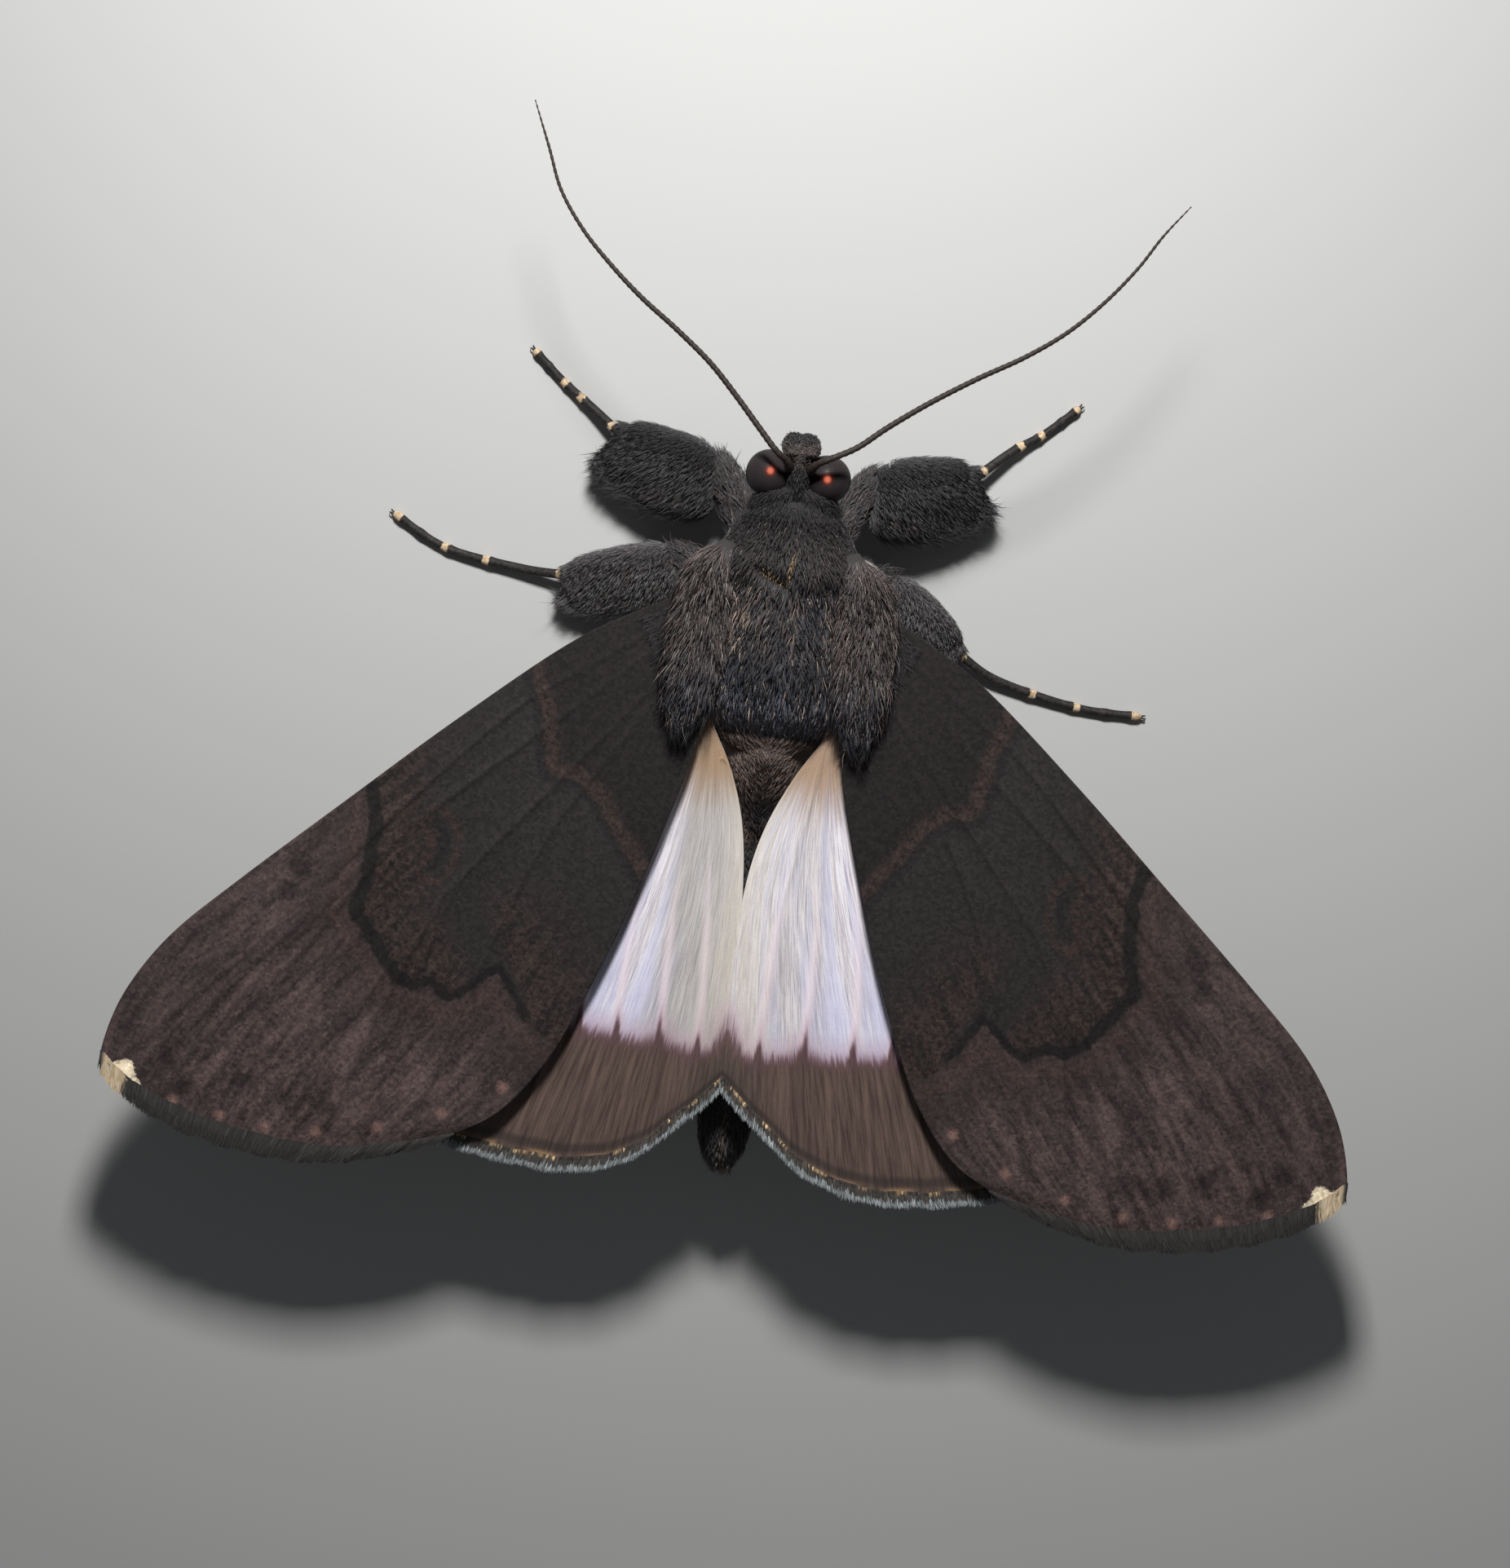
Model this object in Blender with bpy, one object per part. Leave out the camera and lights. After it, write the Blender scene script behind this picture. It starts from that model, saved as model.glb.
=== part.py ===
"""A resting owlet moth, Audea bipunctata, life size, standing on its six feet with the wings half spread.

Sizes are in millimetres until finish_node() writes them in metres. +Y runs to the head, +X to the moth's right
as seen from above with the head up, and +Z up from the floor that the feet stand on.
"""

import math

import bmesh
import bpy
import numpy as np
from mathutils import Matrix
from mathutils.bvhtree import BVHTree

METRE = 0.001
GAP = 0.3
LOCK_ROOM = 0.36
LOCK_SINK = 0.4
WAIST = -1.97

SIDES = {"left": -1, "right": 1}
NODES = {}

# Body
THORAX_Z = 6.6
THORAX_HALF_WIDTH = 3.4
THORAX_HALF_HEIGHT = 3.4
THORAX_FRONT = 5.9
THORAX_BACK = -0.2
COLLAR_BACK = THORAX_FRONT + GAP
COLLAR_FRONT = 8.65
COLLAR_RISE = 0.7
HEAD_BACK = COLLAR_FRONT + GAP
HEAD_FRONT = 11.1
HEAD_Z = 7.0
HEAD_HALF_HEIGHT = 1.45
HEAD_BETWEEN_EYES = 0.42
EYE_CENTRE = (1.12, 10.2, 7.15)
EYE_RADIUS = 0.93
ABDOMEN_FRONT = THORAX_BACK - GAP
ABDOMEN_END = -18.3
COAT_SPLIT = 2.75
COAT_FLOOR = 8.55

# Wings
WING_THICKNESS = 0.5
VEIN_RISE = 0.16
VEIN_HALF_WIDTH = 0.3
FOREWING_ROOT_Z = 8.65
TEGULA_FLOOR = FOREWING_ROOT_Z + WING_THICKNESS / 2 + VEIN_RISE + GAP
HINDWING_ROOT_Z = 7.62
HINDWINGS_MEET = -0.2

# Legs
TARSUS_RADIUS = 0.27

COLOURS = {
    "black_coat": ((0.018, 0.017, 0.018), 0.8),
    "brown_coat": ((0.06, 0.042, 0.034), 0.8),
    "forewing": ((0.035, 0.027, 0.027), 0.75),
    "hindwing": ((0.72, 0.71, 0.70), 0.45),
    "eye": ((0.012, 0.008, 0.008), 0.15),
    "horn": ((0.03, 0.024, 0.022), 0.5),
}


def spline(points, count):
    """Even points along a Catmull-Rom curve through the given ones."""
    p = np.asarray(points, float)
    p = np.vstack([2 * p[0] - p[1], p, 2 * p[-1] - p[-2]])
    t = np.linspace(0, 1, 17)[:, None]
    fine = np.vstack(
        [
            0.5 * (2 * b + (c - a) * t + (2 * a - 5 * b + 4 * c - d) * t**2 + (3 * b - a - 3 * c + d) * t**3)
            for a, b, c, d in zip(p, p[1:], p[2:], p[3:])
        ]
    )
    run = np.r_[0, np.cumsum(np.linalg.norm(np.diff(fine, axis=0), axis=1))]
    at = np.linspace(0, run[-1], count)
    return np.stack([np.interp(at, run, fine[:, k]) for k in range(p.shape[1])], axis=1)


def profile(knots, count):
    """Values of a smooth curve through (place, value) knots, at even places from the first knot to the last."""
    k = np.asarray(knots, float)
    at = np.linspace(k[0, 0], k[-1, 0], count)
    fine = spline(k, 20 * len(k))
    return at, np.interp(at, fine[:, 0], fine[:, 1])


def unit(v):
    v = np.asarray(v, float)
    return v / np.linalg.norm(v, axis=-1, keepdims=True)


def across(path, up=(0, 0, 1), along=None):
    """The sideways and upward directions at each point of a path, or of one given direction."""
    along = unit(np.gradient(np.asarray(path, float), axis=0) if along is None else np.array([along] * len(path)))
    side = unit(np.cross(along, np.broadcast_to(np.asarray(up, float), along.shape)))
    return side, np.cross(side, along)


def loft_faces(rings, sides):
    """Triangles between rings, and a fan at each end."""
    faces = []
    for i in range(rings - 1):
        for j in range(sides):
            a, b = i * sides + j, i * sides + (j + 1) % sides
            c, d = a + sides, b + sides
            faces += [(a, b, d), (a, d, c)]
    start, end = rings * sides, rings * sides + 1
    last = (rings - 1) * sides
    for j in range(sides):
        k = (j + 1) % sides
        faces += [(start, k, j), (end, last + j, last + k)]
    return faces


def loft(path, wide, high, sides, up=(0, 0, 1), along=None, square=2.0, tip=None, floor=None):
    """Closed tube along a path: at each point a superellipse, wide and high (half sizes) across it."""
    path = np.asarray(path, float)
    side, top = across(path if tip is None else np.vstack([path, tip]), up, along)
    side, top = side[: len(path)], top[: len(path)]
    angle = np.arange(sides) * 2 * math.pi / sides
    c, s = np.cos(angle), np.sin(angle)
    c, s = np.sign(c) * np.abs(c) ** (2 / square), np.sign(s) * np.abs(s) ** (2 / square)
    wide = np.broadcast_to(wide, len(path))[:, None, None]
    high = np.broadcast_to(high, len(path))[:, None, None]
    rings = path[:, None] + wide * c[None, :, None] * side[:, None] + high * s[None, :, None] * top[:, None]
    end = path[-1] if tip is None else np.asarray(tip, float)
    points = np.vstack([rings.reshape(-1, 3), path[0], end])
    if floor is not None:
        points[:, 2] = np.maximum(points[:, 2], floor)
    return points, loft_faces(len(path), sides)


def ball(centre, radii, sides=16, rings=9):
    """Ellipsoid with its poles up and down."""
    angle = np.linspace(0, math.pi, rings + 2)[1:-1]
    around = np.arange(sides) * 2 * math.pi / sides
    ring = np.stack(
        [
            np.sin(angle)[:, None] * np.cos(around),
            np.sin(angle)[:, None] * np.sin(around),
            np.cos(angle)[:, None] + 0 * around,
        ],
        axis=-1,
    )
    points = np.vstack([ring.reshape(-1, 3), (0, 0, 1), (0, 0, -1)])
    return points * radii + centre, loft_faces(rings, sides)


def block(low, high):
    """Box between two corners."""
    corners = [(x, y, z) for x in (low[0], high[0]) for y in (low[1], high[1]) for z in (low[2], high[2])]
    quads = [(0, 1, 3, 2), (4, 6, 7, 5), (0, 4, 5, 1), (2, 3, 7, 6), (0, 2, 6, 4), (1, 5, 7, 3)]
    return np.array(corners, float), [t for a, b, c, d in quads for t in ((a, b, c), (a, c, d))]


def lock(root, normal, lie, length, width, thick, lift, bend):
    """Flat, tapered lock: it leaves the surface at its root, bends back along the lie and ends in a fine tip."""
    lie = unit(lie - 0.85 * (lie @ normal) * normal)
    t = np.array([0.4, 0.75, 1.0])[:, None]
    run = root + length * (t * lie + (lift * t - bend * t**2) * normal)
    path = np.vstack([root - LOCK_SINK * normal - 0.1 * lie, run[:2]])
    wide, high = width / 2 * np.array([0.7, 1.0, 0.68]), thick / 2 * np.array([1.0, 0.9, 0.6])
    return loft(path, wide, high, 4, normal, tip=run[2])


def make_mesh(name, points, faces):
    """Mesh object in millimetres, its doubles merged and its faces turned outwards."""
    mesh = bpy.data.meshes.new(name)
    mesh.from_pydata(np.asarray(points, float).tolist(), [], [tuple(int(i) for i in f) for f in faces])
    bm = bmesh.new()
    bm.from_mesh(mesh)
    bmesh.ops.remove_doubles(bm, verts=bm.verts, dist=1e-4)
    bmesh.ops.dissolve_degenerate(bm, edges=bm.edges, dist=1e-5)
    bmesh.ops.triangulate(bm, faces=bm.faces)
    bmesh.ops.recalc_face_normals(bm, faces=bm.faces)
    bm.to_mesh(mesh)
    bm.free()
    obj = bpy.data.objects.new(name, mesh)
    bpy.context.scene.collection.objects.link(obj)
    return obj


def apply_boolean(obj, shapes, operation):
    """Applies one Boolean of the object with a collection of closed shapes, then removes them."""
    if not shapes:
        return
    group = bpy.data.collections.new(obj.name + "_tools")
    bpy.context.scene.collection.children.link(group)
    for number, (points, faces) in enumerate(shapes):
        tool = make_mesh(f"{obj.name}_tool_{number}", points, faces)
        bpy.context.scene.collection.objects.unlink(tool)
        group.objects.link(tool)
    modifier = obj.modifiers.new(operation.title(), "BOOLEAN")
    modifier.operation = operation
    modifier.operand_type = "COLLECTION"
    modifier.collection = group
    modifier.solver = "EXACT"
    bpy.context.view_layer.update()
    graph = bpy.context.evaluated_depsgraph_get()
    made = bpy.data.meshes.new_from_object(obj.evaluated_get(graph))
    obj.modifiers.clear()
    obj.data = made
    for tool in list(group.objects):
        bpy.data.objects.remove(tool)
    bpy.data.collections.remove(group)


def keep_largest(obj):
    """Keeps the closed surface that holds the most volume."""
    bm = bmesh.new()
    bm.from_mesh(obj.data)
    bmesh.ops.triangulate(bm, faces=bm.faces)
    seen, groups = set(), []
    for first in bm.verts:
        if first in seen:
            continue
        seen.add(first)
        stack, group = [first], []
        while stack:
            vert = stack.pop()
            group.append(vert)
            for edge in vert.link_edges:
                other = edge.other_vert(vert)
                if other not in seen:
                    seen.add(other)
                    stack.append(other)
        faces = {f for v in group for f in v.link_faces}
        volume = sum(f.verts[0].co.dot(f.verts[1].co.cross(f.verts[2].co)) for f in faces)
        groups.append((volume, group))
    groups.sort(key=lambda g: g[0])
    bmesh.ops.delete(bm, geom=[v for _, g in groups[:-1] for v in g], context="VERTS")
    bm.to_mesh(obj.data)
    bm.free()


def material(slot):
    found = bpy.data.materials.get(slot)
    if found:
        return found
    colour, roughness = COLOURS[slot]
    made = bpy.data.materials.new(slot)
    made.use_nodes = True
    shader = made.node_tree.nodes["Principled BSDF"]
    shader.inputs["Base Color"].default_value = (*colour, 1)
    shader.inputs["Roughness"].default_value = roughness
    shader.inputs["Metallic"].default_value = 0.0
    return made


def finish_node(obj, origin, slot, parent):
    """Writes the node in metres, with its own origin where it grows from, under the moth's empty."""
    origin = np.asarray(origin, float)
    obj.data.transform(Matrix.Translation((-origin).tolist()))
    obj.data.transform(Matrix.Scale(METRE, 4))
    obj.location = ((origin + (0, WAIST, 0)) * METRE).tolist()
    obj.data.materials.clear()
    obj.data.materials.append(material(slot))
    obj.data.shade_smooth()
    obj.data.set_sharp_from_angle(angle=math.radians(40))
    obj.parent = parent


def node(name, core, origin, slot, cut=()):
    """One named sub-part, still in millimetres: its plain body, with its neighbours' room cut from it."""
    obj = make_mesh(name, *core)
    apply_boolean(obj, list(cut), "DIFFERENCE")
    keep_largest(obj)
    NODES[name] = (obj, origin, slot)


def surface(name):
    """Tree of a node's faces, for finding places on it."""
    bm = bmesh.new()
    bm.from_mesh(NODES[name][0].data)
    tree = BVHTree.FromBMesh(bm)
    bm.free()
    return tree


def clear_of(points, faces, others):
    """Whether a lock keeps its distance from the other nodes and the floor."""
    for a, b, c in faces:
        for spot in (points[a], (points[a] + points[b]) / 2, (points[a] + points[b] + points[c]) / 3):
            if spot[2] < LOCK_ROOM or any(tree.find_nearest(spot.tolist(), LOCK_ROOM)[0] for tree in others):
                return False
    return True


def add_coat(name, places, sizes, seed):
    """Fuses locks to a node, one for each (inside, out, lie, length share), shortened or left out near others.

    The root is where a line from the inside point leaves the node. sizes are length, width, thickness, lift and
    bend, each varied a little.
    """
    own = surface(name)
    others = [surface(other) for other in NODES if other != name]
    draw = np.random.default_rng(seed)
    made = []
    for inside, out, lie, share in places:
        out, lie = unit(out), unit(lie)
        spot, normal, _, _ = own.ray_cast(list(inside), out.tolist())
        if spot is None:
            continue
        normal = np.array(normal) * (1 if np.dot(normal, out) > 0 else -1)
        normal = unit(0.6 * normal + 0.4 * out)
        length, width, thick, lift, bend = np.array(sizes) * draw.uniform(0.88, 1.12, 5)
        side = np.cross(lie, normal) * draw.uniform(-0.12, 0.12)
        for shorter in (1.0, 0.8, 0.62):
            shape = lock(np.array(spot), normal, lie + side, length * share * shorter, width, thick, lift, bend)
            if clear_of(*shape, others):
                made.append(shape)
                break
    apply_boolean(NODES[name][0], made, "UNION")
    keep_largest(NODES[name][0])


def torso(front, back, rise=0.0, grow=0.0, count=9, sides=20):
    """A length of the thorax: an egg-shaped body that narrows to the neck and the waist."""
    y = np.linspace(front, back, count)
    shape = profile([(-0.6, 0.72), (1.0, 0.94), (3.4, 1.0), (5.9, 0.94), (7.3, 0.83), (8.2, 0.66), (8.8, 0.42)], 80)
    share = np.interp(y, *shape)
    path = np.stack([0 * y, y, np.full(count, THORAX_Z)], axis=1)
    path[0, 1] += grow
    path[-1, 1] -= grow
    wide = THORAX_HALF_WIDTH * share + grow
    return loft(path, wide, THORAX_HALF_HEIGHT * share + rise + grow, sides, square=2.2)


def make_thorax():
    low = block((COAT_SPLIT, -3, COAT_FLOOR), (8, 9, 13))
    mirrored = block((-8, -3, COAT_FLOOR), (-COAT_SPLIT, 9, 13))
    core = torso(THORAX_FRONT, THORAX_BACK)
    node("thorax", core, (0, 3, THORAX_Z), "black_coat", cut=[low, mirrored])


def make_collar():
    core = torso(COLLAR_FRONT, COLLAR_BACK, rise=COLLAR_RISE / 2, count=6)
    core[0][:, 2] += COLLAR_RISE / 2
    node("collar", core, (0, COLLAR_FRONT, HEAD_Z), "brown_coat")


def tegula_body(side, grow=0.0):
    """The shoulder cover's dome: long, low and widest ahead of its middle."""
    path = spline([(side * 3.0, 7.0, 9.0), (side * 3.6, 5.4, 9.35), (side * 3.9, 3.0, 9.5), (side * 4.0, 0.0, 9.35)], 9)
    wide = np.array([0.35, 0.85, 1.0, 1.05, 1.05, 1.0, 0.85, 0.65, 0.35]) + grow
    high = np.array([0.3, 0.6, 0.75, 0.8, 0.8, 0.75, 0.65, 0.5, 0.28]) + grow
    return loft(path, wide, high, 12)


def make_tegulae():
    wall = COAT_SPLIT + GAP
    inner = block((-wall, -4, 4), (wall, 12, 14))
    for name, side in SIDES.items():
        low = block((-8, -6, 3), (8, 12, TEGULA_FLOOR))
        cut = [inner, low]
        node(f"tegula_{name}", tegula_body(side), (side * 3.3, 6.5, 9.2), "black_coat", cut=cut)


def abdomen_sizes(y):
    """Half width, half height and centre height of the abdomen at places along it."""
    share = (ABDOMEN_FRONT - y) / (ABDOMEN_FRONT - ABDOMEN_END)
    wide = np.interp(share, *profile([(0, 2.15), (0.15, 2.45), (0.45, 2.3), (0.75, 1.75), (0.93, 1.15), (1, 0.8)], 60))
    centre = np.interp(share, *profile([(0, 5.8), (0.08, 5.1), (0.16, 4.72), (0.5, 4.45), (0.8, 4.5), (1, 4.7)], 60))
    return wide, wide * 0.94, centre


def make_abdomen():
    segments = 7
    edges = ABDOMEN_FRONT + (ABDOMEN_END - ABDOMEN_FRONT) * np.linspace(0, 1, segments + 1)
    y, swell = [], []
    for start, end in zip(edges, edges[1:]):
        y += [start, start * 0.5 + end * 0.5, start * 0.12 + end * 0.88]
        swell += [-0.1, 0.02, 0.08]
    y, swell = np.array([*y, ABDOMEN_END]), np.array([*swell, -0.15])
    wide, high, centre = abdomen_sizes(y)
    path = np.stack([0 * y, y, centre], axis=1)
    core = loft(path, wide + swell, high + swell, 16, along=(0, -1, 0))
    node("abdomen", core, (0, ABDOMEN_FRONT, 6.0), "brown_coat")


def head_core(grow=0.0):
    """The head without its eyes: wide behind them, narrow between them."""
    y = np.array([HEAD_BACK, 9.1, 9.3, 9.5, 9.7, 10.1, 10.6, 10.95, HEAD_FRONT])
    y[2:5] += grow
    wide = np.array([1.35, 1.55, 1.5, 1.0, HEAD_BETWEEN_EYES, HEAD_BETWEEN_EYES, HEAD_BETWEEN_EYES, 0.42, 0.34]) + grow
    high = HEAD_HALF_HEIGHT * np.array([0.8, 0.9, 0.96, 1.0, 1.02, 1.0, 0.96, 0.85, 0.6]) + grow
    path = np.stack([0 * y, y, np.full(len(y), HEAD_Z)], axis=1)
    return loft(path, wide, high, 16, square=2.4)


def make_head():
    node("head", head_core(), (0, HEAD_BACK, HEAD_Z), "black_coat")
    for name, side in SIDES.items():
        centre = np.array(EYE_CENTRE) * (side, 1, 1)
        wall = HEAD_BETWEEN_EYES + GAP
        keep_out = block((-wall, 5, 3), (wall, 14, 11))
        eye = ball(centre, EYE_RADIUS, 16, 9)
        node(f"eye_{name}", eye, centre, "eye", cut=[keep_out, head_core(grow=GAP)])


def make_palps():
    for name, side in SIDES.items():
        middle = side * 0.46
        path = spline([(middle, 11.62, 5.3), (middle, 11.82, 6.0), (middle, 11.86, 6.9), (middle, 11.66, 8.1)], 9)
        wide = np.array([0.22, 0.28, 0.31, 0.31, 0.31, 0.3, 0.22, 0.25, 0.12])
        high = np.array([0.25, 0.36, 0.4, 0.4, 0.38, 0.32, 0.24, 0.26, 0.12])
        core = loft(path, wide, high, 8, up=(0, 1, 0))
        node(f"palp_{name}", core, (middle, 11.4, 5.4), "brown_coat")


ANTENNAE = {
    "left": [(-0.35, 10.5, 8.2), (-0.55, 10.8, 8.75), (-1.0, 11.15, 8.9), (-1.7, 11.9, 8.8), (-2.8, 13.1, 8.6),
             (-3.9, 14.2, 8.5), (-5.3, 15.3, 8.4), (-6.7, 16.3, 8.3), (-8.0, 17.4, 8.2), (-9.2, 18.6, 8.1),
             (-10.2, 20.0, 8.0), (-10.8, 21.5, 8.0), (-11.5, 23.2, 8.0)],
    "right": [(0.35, 10.5, 8.2), (0.6, 10.75, 8.75), (1.1, 11.05, 8.9), (2.1, 11.6, 8.8), (3.2, 12.5, 8.6),
              (4.7, 13.6, 8.5), (6.4, 14.7, 8.4), (8.1, 15.7, 8.3), (9.6, 16.8, 8.2), (10.9, 18.1, 8.1),
              (12.0, 19.5, 8.0), (12.8, 20.8, 8.0), (13.7, 22.0, 8.0)],
}


def make_antennae():
    for name, points in ANTENNAE.items():
        path = spline(points, 34)
        radius = np.interp(np.linspace(0, 1, 34), [0, 0.04, 0.5, 0.93, 1], [0.3, 0.26, 0.25, 0.2, 0.06])
        core = loft(path, radius, radius, 6)
        node(f"antenna_{name}", core, points[0], "horn", cut=[head_core(grow=GAP)])


FOREWING_COSTA = [(2.6, 5.9), (5.1, 4.7), (8.1, 2.9), (12.3, -0.65), (16.35, -4.35), (20.35, -8.05),
                  (22.9, -10.6), (24.52, -13.05), (25.28, -15.25), (25.35, -16.7)]
FOREWING_OUTER = [(25.35, -16.7), (24.1, -17.7), (22.0, -18.6), (19.3, -19.15), (16.4, -19.25), (13.9, -18.7),
                  (11.7, -17.9)]
FOREWING_INNER = [(2.5, 1.8), (2.95, -1.1), (3.9, -4.5), (5.05, -8.2), (6.5, -12.0), (7.7, -14.4), (9.3, -16.4),
                  (11.7, -17.9)]
HINDWING_COSTA = [(2.6, 1.6), (6.0, -1.6), (10.5, -7.0), (14.2, -11.8), (16.3, -15.0)]
HINDWING_OUTER = [(16.3, -15.0), (15.6, -16.6), (13.8, -17.6), (11.7, -18.1), (10.2, -18.45), (8.0, -18.75),
                  (5.8, -18.75), (3.7, -18.0), (2.1, -16.6), (0.2, -14.7)]
HINDWING_INNER = [(2.2, 0.1), (1.3, -1.6), (0.62, -3.7), (0.28, -6.2), (0.2, -9.5), (0.2, -14.7)]


def forewing_height(x, y):
    """Middle of the forewing's thickness: a low roof, highest along the inner margin, lower at the costa and tip."""
    across_wing = (x + y) / 8.0
    along_wing = np.clip((x - y) / 42.0, 0, 1)
    return 8.75 - 0.045 * (across_wing + 1.2) ** 2 * np.sign(across_wing + 1.2) - 0.75 * along_wing**2


def hindwing_height(x, y):
    """Middle of the hindwing's thickness, laid just under the forewing and over the abdomen."""
    return HINDWING_ROOT_Z - 0.0008 * y**2 - 0.0009 * x**2


def wing_lines(costa, outer, inner, veins, stations):
    """Crest lines across a wing, each a row of plan points from the root to the margin.

    A vein is (share of the outer edge where it ends, stem name or None, bow); the outer edge runs on from the
    costa, past the tip, to the inner corner. Veins of one stem share it as far as the stem's end.
    """
    edge = spline(outer, 200)
    lines = [spline(costa, 300)]
    for share, start, corner, bow in veins:
        end = edge[int(round(share * 199))]
        start, corner = np.asarray(start, float), np.asarray(corner, float)
        reach = corner + (corner - start) * bow
        t = np.linspace(0, 1, 200)[:, None]
        branch = (1 - t) ** 2 * corner + 2 * t * (1 - t) * reach + t**2 * end
        stem = start + (corner - start) * np.linspace(0, 1, 100)[:, None]
        lines.append(np.vstack([stem, branch]))
    lines.append(spline(inner, 300))
    made = []
    for line in lines:
        share = np.linspace(0, 1, len(line))
        made.append(np.stack([np.interp(stations, share, line[:, k]) for k in (0, 1)], axis=1))
    return np.array(made)


def wing_solid(lines, height, side, veins=True, grow=0.0, shift=0.0):
    """Closed wing: its upper face rises along each vein line, and both faces are split into the same triangles."""
    rows = [lines[0]]
    crest = [np.full(lines.shape[1], 0.4)]
    for a, b in zip(lines, lines[1:]):
        apart = np.linalg.norm(b - a, axis=1)
        share = np.minimum(0.5, VEIN_HALF_WIDTH / np.maximum(apart, 1e-6))[:, None]
        valley = 1 - np.clip(apart / (2 * VEIN_HALF_WIDTH), 0, 1)
        rows += [a + (b - a) * share, b + (a - b) * share, b]
        crest += [valley, valley, np.ones(len(a))]
    crest[-1] = crest[-1] * 0.2
    plan, crest = np.array(rows), np.array(crest)
    middle = height(plan[..., 0], plan[..., 1])
    rise = (VEIN_RISE if veins else 0.0) * crest
    x = plan[..., 0] * side + shift
    top = np.stack([x, plan[..., 1], middle + WING_THICKNESS / 2 + rise + grow], axis=-1)
    under = np.stack([x, plan[..., 1], middle - WING_THICKNESS / 2 - grow], axis=-1)
    n, m = plan.shape[:2]
    points = np.vstack([top.reshape(-1, 3), under.reshape(-1, 3)])
    faces = []
    for i in range(n - 1):
        for j in range(m - 1):
            a, b, c, d = i * m + j, i * m + j + 1, (i + 1) * m + j + 1, (i + 1) * m + j
            for p, q, r in ((a, b, c), (a, c, d)):
                faces += [(p, q, r), (p + n * m, r + n * m, q + n * m)]
    border = [i * m for i in range(n)] + [(n - 1) * m + j for j in range(1, m)]
    border += [i * m + m - 1 for i in range(n - 2, -1, -1)] + list(range(m - 2, 0, -1))
    for a, b in zip(border, border[1:] + border[:1]):
        faces += [(a, b, b + n * m), (a, b + n * m, a + n * m)]
    return points, faces


FORE_STATIONS = [0.0, 0.1, 0.22, 0.3333, 0.42, 0.52, 0.62, 0.72, 0.82, 0.91, 0.96, 1.0]
HIND_STATIONS = [0.0, 0.16, 0.3333, 0.46, 0.6, 0.74, 0.87, 0.95, 1.0]

FORE_R = ((2.6, 5.0), (12.6, -4.0))
FORE_CU = ((2.6, 4.2), (11.3, -6.6))
FORE_VEINS = [
    (0.0, *((2.6, 5.4), (9.0, 0.9)), 0.5), (0.13, *FORE_R, 0.35), (0.24, *FORE_R, 0.4), (0.36, *FORE_R, 0.4),
    (0.47, *FORE_R, 0.35), (0.56, *FORE_R, 0.2), (0.66, *FORE_CU, 0.35), (0.76, *FORE_CU, 0.25),
    (0.86, *FORE_CU, 0.15), (0.95, *((2.6, 4.2), (7.6, -3.6)), 0.4), (1.0, *((2.55, 3.0), (5.2, -4.4)), 0.8),
]


def forewing(side, grow=0.0, veins=True):
    costa = spline(FOREWING_COSTA, 300)
    cut = 205
    outer = np.vstack([costa[cut::12], FOREWING_OUTER[1:]])
    lines = wing_lines(costa[: cut + 1], outer, FOREWING_INNER, FORE_VEINS, FORE_STATIONS)
    return wing_solid(lines, forewing_height, side, veins, grow)


HIND_RS = ((2.6, 1.2), (7.6, -6.0))
HIND_CU = ((2.5, 0.9), (5.6, -7.2))
HIND_VEINS = [
    (0.04, *((2.6, 1.4), (8.2, -5.2)), 0.6), (0.14, *HIND_RS, 0.4), (0.26, *HIND_RS, 0.3), (0.38, *HIND_CU, 0.4),
    (0.48, *HIND_CU, 0.3), (0.58, *HIND_CU, 0.2), (0.69, *((2.5, 0.9), (4.2, -6.0)), 0.5),
    (0.8, *((2.4, 0.6), (2.9, -6.0)), 0.5), (0.91, *((2.3, 0.3), (1.7, -6.0)), 0.5),
]


def hindwing(side, grow=0.0, veins=True):
    lines = wing_lines(HINDWING_COSTA, HINDWING_OUTER, HINDWING_INNER, HIND_VEINS, HIND_STATIONS)
    shift = HINDWINGS_MEET * np.clip((-lines[..., 1].mean() - 0) / 10, 0, 1)
    return wing_solid(lines, hindwing_height, side, veins, grow, shift)


def make_wings():
    body = torso(THORAX_FRONT, THORAX_BACK, grow=GAP)
    for name, side in SIDES.items():
        node(f"forewing_{name}", forewing(side), (side * 3.1, 4.2, FOREWING_ROOT_Z), "forewing", cut=[body])
        node(f"hindwing_{name}", hindwing(side), (side * 2.9, 0.8, HINDWING_ROOT_Z), "hindwing", cut=[body])


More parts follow.
